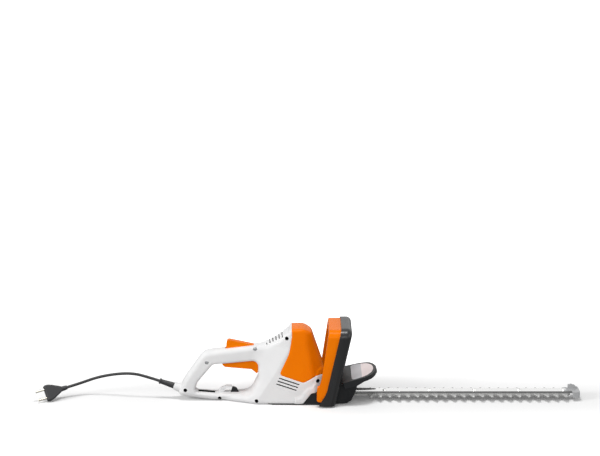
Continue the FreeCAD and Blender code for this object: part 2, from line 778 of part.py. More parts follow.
def stator():
    """Laminated stack with two poles on X and a window on each side for the coils."""
    pole = 55
    stack = sector(0.01, d.stator_radius, 0, 360, d.stator_bottom, stator_top)
    bore = d.rotor_radius + d.air_gap
    stack = stack.cut(rod(bore, (MOTOR_X, 0, d.stator_bottom - 1), (MOTOR_X, 0, stator_top + 1)))
    for start in (pole, 180 + pole):
        stack = stack.cut(sector(bore - 0.5, d.coil_radius + 0.3, start, start + 180 - 2 * pole,
                                 d.stator_bottom - 1, stator_top + 1))
    return stack


def field_coil():
    low = d.stator_bottom - d.coil_overhang
    high = stator_top + d.coil_overhang
    inner = d.rotor_radius + 1.2
    sides = [sector(inner, d.coil_radius, start, start + 30, low, high) for start in (57, -87)]
    heads = [sector(inner, d.coil_radius, -87, 87, stator_top + 0.3, high),
             sector(inner, d.coil_radius, -87, 87, low, d.stator_bottom - 0.3)]
    return join(sides + heads)


feature("stator_core", stator())
coil = field_coil()
opposite = coil.copy()
opposite.rotate(Vector(MOTOR_X, 0, 0), Vector(0, 0, 1), 180)
feature("field_coils", [coil, opposite])

bracket_floor = stator_top + d.coil_overhang + 4 + d.commutator_height + 4
upper_seat = bracket_floor + 11


def motor_bracket():
    """Carries the upper bearing above the commutator on posts standing on the stator."""
    half = (d.stator_radius - 2.6) * math.cos(math.pi / 4)
    deck = block(MOTOR_X - half, MOTOR_X + half, -half, half, bracket_floor, bracket_floor + 4)
    tower = rod(d.bearing_radius + 2, (MOTOR_X, 0, bracket_floor),
                (MOTOR_X, 0, upper_seat + d.bearing_height))
    posts = [post_about_motor(angle, d.stator_radius - 2.6, 2.3, stator_top, bracket_floor + 4)
             for angle in POST_ANGLES]
    bracket = join([deck, tower] + posts)
    bracket = bracket.cut(rod(d.shaft_radius + 1.5, (MOTOR_X, 0, 0), (MOTOR_X, 0, 200)))
    return bracket.cut(rod(d.bearing_radius, (MOTOR_X, 0, upper_seat), (MOTOR_X, 0, 200)))


feature("motor_bracket", motor_bracket())


def bearing(label, floor):
    """Sealed ball bearing about the motor axis, with running clearance on the shaft."""
    ring = cylinder(label + "_ring", "dims.bearing_radius", "dims.bearing_height", SOLID_AXIS + (floor,))
    bore = cylinder(label + "_bore", "dims.shaft_radius + dims.running_fit", "dims.bearing_height + 2",
                    SOLID_AXIS + (f"{floor} - 1",))
    return keep(cut(label, ring, bore), label)


bearing("lower_bearing", "dims.case_top + 0.8")
bearing("upper_bearing", "dims.stator_bottom + dims.stator_stack + dims.coil_overhang"
        " + 4 + dims.commutator_height + 4 + 11")

brush_middle = stator_top + d.coil_overhang + 4 + d.commutator_height / 2


def brush_set():
    inner = d.commutator_radius + 0.3
    half = d.brush_width / 2
    low = brush_middle - d.brush_height / 2
    high = low + d.brush_height
    brush = block(MOTOR_X - half, MOTOR_X + half, inner, inner + d.brush_length, low, high)
    holder = block(MOTOR_X - half - 1.8, MOTOR_X + half + 1.8, inner + 2, inner + d.brush_length + 3,
                   low - 1.8, bracket_floor)
    bore = block(MOTOR_X - half, MOTOR_X + half, inner, inner + d.brush_length + 1, low, high)
    return both(brush), both(holder.cut(bore))


brushes, holders = brush_set()
feature("carbon_brushes", brushes)
feature("brush_holders", holders)

# ---------------------------------------------------------------- gears and eccentrics

PRESSURE_ANGLE = math.radians(25)


def gear_outline(teeth, addendum, dedendum, play, phase):
    """Corners of an involute spur gear; each flank is drawn through three points."""
    pitch_r = d.gear_module * teeth / 2
    base_r = pitch_r * math.cos(PRESSURE_ANGLE)
    tip_r = pitch_r + addendum
    root_r = pitch_r - dedendum
    involute = math.tan(PRESSURE_ANGLE) - PRESSURE_ANGLE

    def half_angle(radius):
        roll = math.acos(min(1.0, base_r / radius))
        return math.pi / (2 * teeth) - play / (2 * pitch_r) + involute - (math.tan(roll) - roll)

    flank = [max(base_r, root_r), pitch_r, tip_r]
    points = []
    for k in range(int(teeth)):
        middle = phase + 2 * math.pi * k / teeth
        steps = [(root_r, -half_angle(flank[0]))] + [(r, -half_angle(r)) for r in flank]
        steps += [(r, -turn_by) for r, turn_by in reversed(steps)]
        for i, (radius, turn_by) in enumerate(steps):
            point = Vector(radius * math.cos(middle + turn_by), radius * math.sin(middle + turn_by), 0)
            if not points or (point - points[-1]).Length > 1e-4:
                points.append(point)
    return points


def gear_blank(teeth, addendum, dedendum, play, phase, low, high):
    points = gear_outline(teeth, addendum, dedendum, play, phase)
    face = Part.Face(Part.makePolygon(points + points[:1]))
    face.translate(Vector(0, 0, low))
    return face.extrude(Vector(0, 0, high - low))


def pinion():
    low = d.gear_floor - 0.5
    high = d.gear_floor + d.gear_width + 0.5
    blank = gear_blank(d.pinion_teeth, 0.8 * d.gear_module, 1.1 * d.gear_module,
                       0.35 * d.gear_module, 0.0, low, high)
    blank.translate(Vector(MOTOR_X, 0, 0))
    return blank.cut(rod(d.shaft_nose, (MOTOR_X, 0, low - 1), (MOTOR_X, 0, high + 1)))


def spur_gear():
    low = d.gear_floor
    high = d.gear_floor + d.gear_width
    blank = gear_blank(d.gear_teeth, 0.6 * d.gear_module, 1.2 * d.gear_module,
                       0.35 * d.gear_module, math.pi / d.gear_teeth, low, high)
    web_low = rod(d.gear_module * d.gear_teeth / 2 - 5, (0, 0, high - 2.5), (0, 0, high + 1))
    web_low = web_low.cut(rod(d.axle_radius + 6, (0, 0, 0), (0, 0, 60)))
    hub = rod(d.axle_radius + 5, (0, 0, d.blade_top + d.blade_gap), (0, 0, low))
    holes = [rod(3.5, (17 * math.cos(a), 17 * math.sin(a), 0), (17 * math.cos(a), 17 * math.sin(a), 60))
             for a in (math.pi / 3 * i for i in range(6))]
    gear = join([blank.cut(web_low), hub])
    return gear.cut(Part.makeCompound(holes + [rod(d.axle_radius + d.running_fit, (0, 0, 0), (0, 0, 60))]))


feature("pinion", pinion())
feature("spur_gear", spur_gear())


def eccentric(label, floor, height, throw):
    """Round cam beside the axle; its partner stands on the other side of the axle."""
    disc = cylinder(label + "_disc", "dims.eccentric_radius", height, ("0", throw, floor))
    bore = cylinder(label + "_bore", "dims.axle_radius + dims.running_fit", f"({height}) + 2",
                    ("0", "0", f"{floor} - 1"))
    return keep(cut(label, disc, bore), label)


eccentric("upper_eccentric", f"{UPPER_FLOOR} - dims.blade_gap / 2",
          "dims.blade_thickness + dims.blade_gap * 1.5", "dims.crank_throw")
eccentric("lower_eccentric", LOWER_FLOOR, "dims.blade_thickness + dims.blade_gap / 2",
          "-dims.crank_throw")
keep(cylinder("gear_axle_pin", "dims.axle_radius", "dims.chamber_top + 3 - dims.plate_thickness",
              ("0", "0", "dims.plate_thickness")), "gear_axle")
washer = cylinder("washer_disc", "dims.axle_radius + 3.5",
                  f"{LOWER_FLOOR} - dims.plate_thickness - 0.1", ("0", "0", "dims.plate_thickness"))
washer_bore = cylinder("washer_bore", "dims.axle_radius", "30", ("0", "0", "0"))
keep(cut("thrust_washer", washer, washer_bore), "thrust_washer")

# ---------------------------------------------------------------- blades, guide bar and tip guard

def reciprocating_blade(label, floor):
    """Toothed blade with the cam window in its tail and a slot for each clamping bolt."""
    blade = new_body(label)
    thickness = "dims.blade_thickness"

    def plan(name):
        return sketch_on(blade, f"{label}_{name}", "XY_Plane", floor)

    tail = plan("tail")
    draw_circle(tail, "0", "0", WINDOW_RADIUS + " + dims.tail_rim")
    pad(blade, tail, f"{label}_tail_pad", thickness)
    doc.recompute()
    spine = plan("spine")
    draw_polygon(spine, [
        ("12", "-dims.spine_half"), (BLADE_END + " - 5", "-dims.spine_half"), (BLADE_END, "-9"),
        (BLADE_END, "9"), (BLADE_END + " - 5", "dims.spine_half"), ("12", "dims.spine_half"),
    ])
    pad(blade, spine, f"{label}_spine_pad", thickness)
    doc.recompute()
    for side in ("-", ""):
        name = "near" if side else "far"
        tooth = plan(f"{name}_tooth")
        draw_polygon(tooth, [
            ("dims.first_tooth - dims.tooth_root / 2", f"{side}(dims.spine_half - 0.5)"),
            ("dims.first_tooth + dims.tooth_root / 2", f"{side}(dims.spine_half - 0.5)"),
            ("dims.first_tooth + dims.tooth_tip / 2 + 1.5", f"{side}dims.tooth_reach"),
            ("dims.first_tooth - dims.tooth_tip / 2 + 1.5", f"{side}dims.tooth_reach"),
        ])
        first = pad(blade, tooth, f"{label}_{name}_tooth_pad", thickness)
        doc.recompute()
        row_of(blade, first, f"{label}_{name}_teeth", "dims.tooth_pitch", "dims.tooth_count")
        doc.recompute()
    window = plan("window")
    draw_circle(window, "0", "0", WINDOW_RADIUS)
    pocket(blade, window, f"{label}_window_cut", thickness)
    doc.recompute()
    half = "(dims.crank_throw + dims.bolt_radius + dims.bolt_fit)"
    width = "(dims.bolt_radius + dims.bolt_fit)"
    for name, centre in (("slot", "dims.first_bolt"), ("anchor_slot", ANCHOR)):
        slot = plan(name)
        draw_polygon(slot, [
            (f"{centre} - {half} + 1", f"-{width}"), (f"{centre} + {half} - 1", f"-{width}"),
            (f"{centre} + {half}", f"-{width} + 1"), (f"{centre} + {half}", f"{width} - 1"),
            (f"{centre} + {half} - 1", width), (f"{centre} - {half} + 1", width),
            (f"{centre} - {half}", f"{width} - 1"), (f"{centre} - {half}", f"-{width} + 1"),
        ])
        slot_cut = pocket(blade, slot, f"{label}_{name}_cut", thickness)
        doc.recompute()
        if name == "slot":
            row_of(blade, slot_cut, f"{label}_slots", "dims.bolt_spacing", "dims.bolt_count")
            doc.recompute()


reciprocating_blade("upper_blade", UPPER_FLOOR)
reciprocating_blade("lower_blade", LOWER_FLOOR)

TIP_X = "(" + BLADE_END + " + 8)"
tip_x = blade_end + 8
bar = new_body("guide_bar")
bar_plan = sketch_on(bar, "bar_plan", "XY_Plane", BAR_FLOOR)
draw_polygon(bar_plan, [
    ("dims.bar_start", "-dims.bar_half"), (TIP_X + " + 3", "-dims.bar_half"),
    (TIP_X + " + 3", "dims.bar_half"), ("dims.bar_start", "dims.bar_half"),
])
pad(bar, bar_plan, "bar_pad", "dims.bar_thickness")
doc.recompute()
bar_hole = sketch_on(bar, "bar_hole", "XY_Plane", BAR_FLOOR)
draw_circle(bar_hole, "dims.first_bolt", "0", "dims.bolt_radius")
bar_hole_cut = pocket(bar, bar_hole, "bar_hole_cut", "dims.bar_thickness")
doc.recompute()
row_of(bar, bar_hole_cut, "bar_holes", "dims.bolt_spacing", "dims.bolt_count")
doc.recompute()
bar_ends = sketch_on(bar, "bar_anchor_and_rivet_holes", "XY_Plane", BAR_FLOOR)
draw_circle(bar_ends, ANCHOR, "0", "dims.bolt_radius")
for side in ("-8", "8"):
    draw_circle(bar_ends, TIP_X + " - dims.rivet_back", side, "2")
pocket(bar, bar_ends, "bar_ends_cut", "dims.bar_thickness")
doc.recompute()

BOLTS = [d.first_bolt + d.bolt_spacing * k for k in range(1, int(d.bolt_count))]
nut_top = lower_floor - d.blade_gap


def hexagon(radius, x, low, high):
    corners = [(x + radius * math.cos(math.pi / 3 * i), radius * math.sin(math.pi / 3 * i), 0)
               for i in range(6)]
    return prism(corners, xy, low, high)


def blade_bolt(x):
    head = rod(d.bolt_head, (x, 0, bar_top), (x, 0, bar_top + d.bolt_head_height))
    socket = hexagon(2.3, x, bar_top + 0.6, bar_top + d.bolt_head_height + 1)
    return head.fuse(rod(d.bolt_radius, (x, 0, nut_top - 4), (x, 0, bar_top))).cut(socket)


def blade_nut(x):
    return hexagon(d.bolt_head, x, nut_top - 4, nut_top).cut(
        rod(d.bolt_radius, (x, 0, nut_top - 5), (x, 0, bar_top)))


def anchor_screw(x):
    head = rod(d.bolt_head, (x, 0, nut_top - 3.9), (x, 0, nut_top))
    head = head.cut(hexagon(2.3, x, nut_top - 5, nut_top - 2))
    return head.fuse(rod(d.bolt_radius, (x, 0, nut_top), (x, 0, bar_top + 13)))


feature("blade_bolts", [blade_bolt(x) for x in BOLTS])
feature("blade_nuts", [blade_nut(x) for x in BOLTS])
feature("bar_anchor_screws", [anchor_screw(x) for x in ANCHOR_SCREWS])

tip_top = bar_top + d.tip_step


def tip_guard():
    """Grey guard over the end of the bar: head, tongue along the bar and an upright fin."""
    head_rear = tip_x - 4
    end = tip_x + d.tip_length
    half = d.tip_half
    head = prism([(head_rear, -half, 3), (end - 2, -half, 3), (end, 7 - half, 6), (end, half - 7, 6),
                  (end - 2, half, 3), (head_rear, half, 3)], xy, 9.0, tip_top)
    tongue = block(tip_x - 21, tip_x, -d.bar_half, d.bar_half, bar_top, tip_top)
    fin = across([(tip_x - 12, tip_top - 1, 0), (tip_x - 12.5, tip_top + d.tip_fin - 1.5, 2),
                  (tip_x - 5, tip_top + d.tip_fin, 8), (tip_x + 4, tip_top + d.tip_fin - 3, 9),
                  (tip_x + 9, tip_top - 1, 0)], 0.0, 4.0)
    eye = rod(2.0, (tip_x + 3.5, -1, tip_top + 3.4), (tip_x + 3.5, 5, tip_top + 3.4))
    guard = join([head, tongue, fin]).cut(eye)
    guard = guard.cut(block(head_rear - 1, tip_x + 3, -d.bar_half, d.bar_half,
                            d.blade_top + d.blade_gap, bar_top))
    guard = guard.cut(block(head_rear - 1, tip_x, -d.spine_half - 1, d.spine_half + 1,
                            0, d.blade_top + d.blade_gap + 0.5))
    holes = both(rod(2, (tip_x - d.rivet_back, 8, 0), (tip_x - d.rivet_back, 8, 40)))
    holes.append(rod(d.bolt_head + 0.4, (BOLTS[-1], 0, bar_top), (BOLTS[-1], 0, tip_top + 1)))
    return guard.cut(Part.makeCompound(holes))


feature("tip_guard", tip_guard())
rivet_x = tip_x - d.rivet_back
rivet = rod(2, (rivet_x, 8, d.blade_top + 0.4), (rivet_x, 8, tip_top)).fuse(
    rod(3, (rivet_x, 8, tip_top), (rivet_x, 8, tip_top + 1.0)))
feature("tip_guard_rivets", both(rivet))
feature("oil_felt", block(d.nose_front + 0.3, 126, -2, 10, bar_top, bar_top + 0.9))

# ---------------------------------------------------------------- front handle and switch bow

sin_lean = math.sin(math.radians(d.hoop_lean))
cos_lean = math.cos(math.radians(d.hoop_lean))


def leaning(u, s):
    """Point of the plane that holds the front handle: u across, s up along its lean."""
    return Vector(d.hoop_root + s * sin_lean, u, s * cos_lean)


def hooped(points, behind, ahead):
    """Outline of (y, z, radius) corners on the leaning plane, extruded along X."""
    face = Part.Face(rounded([(y, z / cos_lean, r) for y, z, r in points], leaning))
    face.translate(Vector(behind, 0, 0))
    return face.extrude(Vector(ahead - behind, 0, 0))


def arch(half, top, low, corner):
    """Corners of an upright arch, open at the foot."""
    return [(-half, low, 0), (-half, top, corner), (half, top, corner), (half, low, 0)]


hoop_channel = d.hoop_depth - d.hoop_front
bow_side = d.hoop_half - d.hoop_wall - d.bow_play + 0.1
pin_end = bow_side - 3.2


def hoop_rear(z):
    """Where the rear face of the front handle is at a height."""
    return d.hoop_root + z * tan_lean


def front_handle():
    foot = d.hoop_foot
    inner = d.hoop_half - d.hoop_bar
    outer = hooped(arch(d.hoop_half, d.hoop_height, foot, d.hoop_corner), 0, d.hoop_depth)
    inside = hooped(arch(inner, d.hoop_height - d.hoop_bar, foot - 2, d.hoop_corner - 12),
                    -1, d.hoop_depth + 1)
    wall = d.hoop_wall
    trough = hooped(arch(d.hoop_half - wall, d.hoop_height - wall, foot - 2, d.hoop_corner - wall),
                    -1, hoop_channel)
    kept = hooped(arch(inner + wall, d.hoop_height - d.hoop_bar + wall, foot - 3, d.hoop_corner - 10),
                  -2, hoop_channel + 1)
    rim = outer.makeFillet(d.hoop_round, edges_where(outer, on_front_face)).cut(inside)
    rim = rim.makeFillet(d.hoop_inner_round, edges_where(rim, on_inner_rim))
    rim = rim.cut(trough.cut(kept))
    tie = block(26, 46, -inner - 0.5, inner + 0.5, d.deck_height, d.deck_height + 6)
    handle = join([rim, tie] + both(foot_shoe(inner)))
    handle = handle.common(across([
        (-20, foot, 0), (hoop_rear(foot) + d.hoop_depth, foot, 8),
        (hoop_rear(60) + d.hoop_depth, 60, 0), (hoop_rear(60) + 60, 60, 0),
        (hoop_rear(60) + 60, d.hoop_height + 10, 0), (-20, d.hoop_height + 10, 0)]))
    tools = []
    for x, y in HANDLE_SCREWS:
        tools.append(rod(2.1, (x, y, d.deck_height - 1), (x, y, d.deck_height + 7)))
        tools.append(rod(4.3, (x, y, d.deck_height + 3.4), (x, y, d.deck_height + 7)))
    return handle.cut(Part.makeCompound(tools))


def foot_shoe(inner):
    """Foot of one handle leg: it runs back under the end of the bow."""
    top = 36
    outline = [(hoop_rear(top) + 4, top, 0), (hoop_rear(top), top, 0), (13, 24, 14), (3.5, 10.5, 8),
               (1.5, d.hoop_foot, 2), (hoop_rear(d.hoop_foot) + 16, d.hoop_foot, 0)]
    shoe = across(outline, inner, d.hoop_half)
    return shoe.cut(block(-20, 60, inner - 1, d.hoop_half - d.hoop_wall, d.foot_floor, top + 10))


def on_front_face(edge):
    """True for edges of the arch face furthest ahead, the foot edge left out."""
    points = [edge.valueAt(edge.FirstParameter + (edge.LastParameter - edge.FirstParameter) * t)
              for t in (0.0, 0.5, 1.0)]
    ahead = all(abs(point.x - d.hoop_depth - hoop_rear(point.z)) < 1e-3 for point in points)
    return ahead and edge.BoundBox.ZMax > d.hoop_foot + 1


def on_inner_rim(edge):
    """True for front edges round the opening of the arch."""
    box = edge.BoundBox
    inner = d.hoop_half - d.hoop_bar
    return (on_front_face(edge) and max(abs(box.YMin), abs(box.YMax)) < inner + 1e-3
            and box.ZMax < d.hoop_height - d.hoop_bar + 1e-3)


feature("front_handle", front_handle())
feature("front_handle_screws", [
    rod(4.0, (x, y, d.deck_height + 3.4), (x, y, d.deck_height + 5.8)).fuse(
        rod(1.9, (x, y, d.deck_height - 13), (x, y, d.deck_height + 3.4))).cut(
        rod(1.5, (x, y, d.deck_height + 4.6), (x, y, d.deck_height + 6)))
    for x, y in HANDLE_SCREWS])


def switch_bow():
    """Orange bow behind the handle; its lower ends turn on the pins in the gear case."""
    side = bow_side
    inner = d.hoop_half - d.hoop_bar + d.hoop_wall + d.bow_play + 0.1
    top = d.hoop_height - d.hoop_wall - d.bow_play
    under = d.hoop_height - d.hoop_bar + d.hoop_wall + d.bow_drop
    foot = d.bow_pivot_height - 2
    ring = hooped(arch(side, top, foot, d.hoop_corner - d.hoop_wall), -d.bow_depth - 4, d.bow_overlap)
    ring = ring.cut(hooped(arch(inner, under, foot - 2, d.hoop_corner - 10), -d.bow_depth - 8,
                           d.bow_overlap + 1))
    crown = d.hoop_height
    rear = hoop_rear(crown) - d.bow_depth - 2.2
    side_reach = d.hoop_half + 6
    lean_back = across([(-20, crown + 8, 0), (rear, crown + 8, 0), (rear - 2.3, crown - 20, 60),
                        (7.2, 63, 40), (1, 40, 0), (1, 30, 0), (60, 30, 0), (rear + 66, crown + 8, 0)],
                       -side_reach, side_reach)
    behind = across([(-60, crown + 28, 0), (rear, crown + 28, 0), (rear, crown - 7, 20),
                     (rear - 3, crown - 22, 60), (7.2, 63, 40), (0, 40, 0), (-60, 40, 0)],
                    -side_reach, side_reach)
    wall = d.hoop_wall
    ahead = 60
    core = hooped(arch(side - wall, top - wall, foot - 4, d.hoop_corner - 2 * wall), -d.bow_depth, ahead)
    core = core.cut(hooped(arch(inner + wall, under + wall, foot - 6, d.hoop_corner - 8),
                           -d.bow_depth - 1, ahead + 1))
    behind_wall = behind.copy()
    behind_wall.translate(Vector(wall, 0, 0))
    above_pivot = block(-60, 120, -side_reach, side_reach, d.bow_pivot_height + d.bow_boss + 3,
                        crown + 28)
    ring = ring.common(lean_back).cut(behind).cut(core.cut(behind_wall).common(above_pivot))
    below = d.bow_overlap + hoop_rear(foot)
    leg = [(d.bow_pivot_x - d.bow_boss + 0.5, d.bow_pivot_height + 8, 4), (-3.5, 13, 5), (9.5, 13, 7),
           (below - 8, d.bow_pivot_height - 10, 12), (below, d.bow_pivot_height + 8, 3)]
    legs = both(across(leg, inner, side))
    bosses = both(rod(d.bow_boss, (d.bow_pivot_x, inner, d.bow_pivot_height),
                      (d.bow_pivot_x, side, d.bow_pivot_height)))
    bow = join([ring] + legs + bosses)
    bores = both(rod(d.bow_pin + d.running_fit, (d.bow_pivot_x, inner - 1, d.bow_pivot_height),
                     (d.bow_pivot_x, pin_end + 0.5, d.bow_pivot_height)))
    return bow.cut(Part.makeCompound(bores))


feature("switch_bow", switch_bow())
feature("bow_pivot_pins", both(
    rod(d.bow_pin, (d.bow_pivot_x, d.chamber_top + 1, d.bow_pivot_height),
        (d.bow_pivot_x, pin_end, d.bow_pivot_height))))


def coil_spring(radius, wire, turns, centre, low, high):
    """Coil about an axis along Y, from one distance off the middle plane to another."""
    pitch = (high - low - 2 * wire) / turns
    spine = Part.makeHelix(pitch, pitch * turns, radius)
    ring = Part.Wire(Part.makeCircle(wire, Vector(radius, 0, 0), Vector(0, 1, 0)))
    coil_shape = spine.makePipeShell([ring], True, True)
    coil_shape.rotate(Vector(), Vector(1, 0, 0), -90)
    coil_shape.translate(Vector(centre[0], low + wire, centre[1]))
    return coil_shape


bow_inner = d.hoop_half - d.hoop_bar + d.hoop_wall + d.bow_play + 0.1
feature("bow_return_springs", both(
    coil_spring(d.bow_pin + 1.2, 0.5, 4, (d.bow_pivot_x, d.bow_pivot_height),
                d.body_half + 0.4, bow_inner - 0.4)))
feature("bow_switch", hooped([(-60, 56, 1), (-60, 70, 1), (-52, 70, 1), (-52, 56, 1)],
                             d.bow_overlap + 5.5, hoop_channel))

# ---------------------------------------------------------------- hand guard

sin_tilt = math.sin(math.radians(d.guard_tilt))
cos_tilt = math.cos(math.radians(d.guard_tilt))


def tilted(shape):
    """Turns a shape drawn flat into the sloping plane of the guard."""
    shape = shape.copy()
    shape.rotate(Vector(), Vector(0, 1, 0), -d.guard_tilt)
    shape.translate(Vector(d.guard_rear, 0, d.guard_rear_height))
    return shape


def guard_top(x):
    return d.guard_rear_height + (x - d.guard_rear) * sin_tilt / cos_tilt


def guard_plan(inset):
    """Plan of the guard, its nose drawn in by a run of arcs that meet on the middle plane."""
    half = d.guard_half - inset
    nose = d.guard_length - inset
    right = [(1 + inset, -half, 4), (42, 2.5 - half, 50), (63 - 0.6 * inset, 11.5 - half, 26),
             (nose - 5.5, 28.5 - half, 28), (nose, 49 - half, 28)]
    return right + [(u, -v, radius) for u, v, radius in reversed(right)]


def hand_guard():
    bowl = prism(guard_plan(0), xy, -d.guard_rear_skirt, 0)
    bowl = bowl.cut(prism(guard_plan(d.wall), xy, -d.guard_rear_skirt - 1, -d.guard_plate))
    bowl = bowl.common(across([
        (-1, 1, 0), (d.guard_length + 1, 1, 0), (d.guard_length + 1, -d.guard_skirt, 0),
        (46, -d.guard_skirt, 0), (30, 0.5 - d.guard_rear_skirt, 0), (-1, -d.guard_rear_skirt, 0)]))
    bowl = tilted(bowl)
    neck_half = 34.0
    x0, x1 = 56.0, d.nose_front - 0.5
    outside = across([(x0, d.nose_height, 0), (x1, d.nose_height, 0), (x1, guard_top(x1) - 1.5, 0),
                      (x0, guard_top(x0) - 1.5, 0)], -neck_half, neck_half)
    hollow = across([(x0 + 2.5, 0, 0), (x1 - 2.5, 0, 0), (x1 - 2.5, guard_top(x1) - 3.3, 0),
                     (x0 + 2.5, guard_top(x0) - 3.3, 0)], 2.5 - neck_half, neck_half - 2.5)
    neck = outside.cut(hollow)
    posts = [rod(5, (x, y, d.nose_height), (x, y, guard_top(x) - 1.5)) for x, y in GUARD_SCREWS]
    neck = join([neck] + posts).common(block(x0, x1, -40, 40, 40, 80))
    guard = join([bowl, neck])
    tools = []
    for x, y in GUARD_SCREWS:
        tools.append(rod(1.8, (x, y, 40), (x, y, 70)))
        tools.append(rod(3.6, (x, y, guard_top(x) - 4.5), (x, y, 80)))
    tools.append(block(d.guard_rear - 5, x1 + 0.4, -d.body_half - 1, d.body_half + 1, 30,
                       d.nose_height))
    return guard.cut(Part.makeCompound(tools))


feature("hand_guard", hand_guard())
feature("guard_screws", [
    rod(3.4, (x, y, guard_top(x) - 4.5), (x, y, guard_top(x) - 2.3)).fuse(
        rod(1.6, (x, y, d.nose_height - 8), (x, y, guard_top(x) - 4.5)))
    for x, y in GUARD_SCREWS])
label_right = [(21.6, 7 - d.guard_half, 7), (40, 9.5 - d.guard_half, 40),
               (57.5, 17.5 - d.guard_half, 20), (d.guard_length - 10, 33.5 - d.guard_half, 24),
               (d.guard_length - 6.6, 51 - d.guard_half, 28)]
label_plan = label_right + [(u, -v, radius) for u, v, radius in reversed(label_right)]
feature("guard_label", tilted(prism(label_plan, xy, 0, d.label_thickness)))

# ---------------------------------------------------------------- rear controls

TRIGGER_OUTLINE = [
    (-209.5, 92.5, 4.5), (-206, 79, 2), (-201, 74.5, 3), (-143, 69.5, 9), (-133, 60.5, 1.5),
    (-129.8, 62, 1.2), (-128.8, 76, 10), (-131, 91, 2), (-150, 93, 3),
]
LEVER_OUTLINE = [
    (-199, 110.7, 1), (-196.5, 135.8, 6), (-137.5, 123.2, 1.5), (-139.5, 119.8, 1), (-146, 112, 3),
]


ROCKER_WALL = 2.0


def rocker(outline, half, opening, centre, boss, boss_end, bore, spring_room):
    """Moulded control, hollow towards the inside of the grip, with a boss for its pivot pin."""
    x, z = centre
    hollow = thick(offset_face(outline, ROCKER_WALL), half - ROCKER_WALL)
    lower = hollow.copy()
    lower.translate(Vector(0, 0, opening))
    body = across(outline, -half, half).cut(hollow).cut(lower)
    rocking = join([body, rod(boss, (x, -half, z), (x, boss_end, z))])
    rocking = rocking.cut(rod(bore, (x, -half - 1, z), (x, half + 1, z)))
    if boss_end < half:
        rocking = rocking.cut(rod(spring_room, (x, boss_end, z), (x, half - ROCKER_WALL, z)))
    return rocking


trigger_coil = d.trigger_pin_radius + d.spring_play + d.spring_wire
lever_coil = d.lever_pin_radius + d.spring_play + d.spring_wire
feature("rear_trigger", rocker(TRIGGER_OUTLINE, d.trigger_half, 6, (-d.trigger_pivot_x, d.trigger_pivot_z),
                               4.5, d.trigger_half, d.trigger_pin_radius + d.running_fit,
                               trigger_coil + d.spring_wire + d.spring_play))
feature("lockout_lever", rocker(LEVER_OUTLINE, d.lever_half, -6, (-d.lever_pivot_x, d.lever_pivot_z),
                                3.6, 0.5, d.lever_pin_radius + d.running_fit,
                                lever_coil + d.spring_wire + d.spring_play))
keep(cylinder("trigger_pin_rod", "dims.trigger_pin_radius", "2 * (dims.grip_half - 2.2)",
              ("-dims.trigger_pivot_x", "-(dims.grip_half - 2.2)", "dims.trigger_pivot_z"), ALONG_Y),
     "trigger_pin")
keep(cylinder("lockout_pin_rod", "dims.lever_pin_radius", "2 * (dims.grip_half - 3.2)",
              ("-dims.lever_pivot_x", "-(dims.grip_half - 3.2)", "dims.lever_pivot_z"), ALONG_Y),
     "lockout_pin")
feature("trigger_spring", coil_spring(trigger_coil, d.spring_wire, 3,
                                      (-d.trigger_pivot_x, d.trigger_pivot_z),
                                      d.trigger_half + d.spring_play,
                                      d.grip_half - d.wall - d.spring_play))
feature("lockout_spring", coil_spring(lever_coil, d.spring_wire, 3,
                                      (-d.lever_pivot_x, d.lever_pivot_z),
                                      0.5 + d.spring_play, d.lever_half - ROCKER_WALL - d.spring_play))
switch_case = block(-160, -142, -8, 8, 102, 109).fuse(
    block(-158, -144, -d.grip_half + d.wall, d.grip_half - d.wall, 102, 106)).removeSplitter()
feature("rear_switch", switch_case)
keep(cuboid("capacitor_can", "24", "22", "14", ("-112", "-11", "60")), "suppressor_capacitor")

# ---------------------------------------------------------------- leads, cord and plug

def tube(points, radius):
    """Round lead of straight runs joined by tangent arcs; prints each bend radius."""
    points = [Vector(*point) for point in points]
    edges = []
    start = points[0]
    bends = []
    for before, here, after in zip(points, points[1:], points[2:]):
        back = (before - here).normalize()
        ahead = (after - here).normalize()
        half = back.getAngle(ahead) / 2
        reach = 0.45 * min((before - here).Length, (after - here).Length)
        bend = reach * math.tan(half)
        bends.append(bend)
        middle = here + (back + ahead).normalize() * (bend / math.sin(half) - bend)
        edges.append(Part.LineSegment(start, here + back * reach).toShape())
        edges.append(Part.Arc(here + back * reach, middle, here + ahead * reach).toShape())
        start = here + ahead * reach
    edges.append(Part.LineSegment(start, points[-1]).toShape())
    wire = Part.Wire(edges)
    ring = Part.Wire(Part.makeCircle(radius, points[0], points[1] - points[0]))
    return wire.makePipeShell([ring], True, True), wire.Length, bends


def strain_relief():
    """Moulded sleeve: plain inside the casing, tapering outside, with a collar at its mouth."""
    plain = rod(d.sleeve_radius, along_sleeve(0), along_sleeve(22))
    taper = cone(d.sleeve_radius, d.sleeve_neck, along_sleeve(22), along_sleeve(d.sleeve_length - 4))
    collar = rod(d.sleeve_neck + 1, along_sleeve(d.sleeve_length - 4), along_sleeve(d.sleeve_length))
    grooves = []
    for i in range(5):
        at = 25 + 4.6 * i
        ring = rod(d.sleeve_radius + 1, along_sleeve(at), along_sleeve(at + 1.6))
        grooves.append(ring.cut(rod(d.sleeve_neck - 0.8, along_sleeve(at - 1), along_sleeve(at + 3))))
    return join([plain, taper, collar]).cut(Part.makeCompound(grooves))


sleeve = strain_relief()
feature("strain_relief", sleeve)

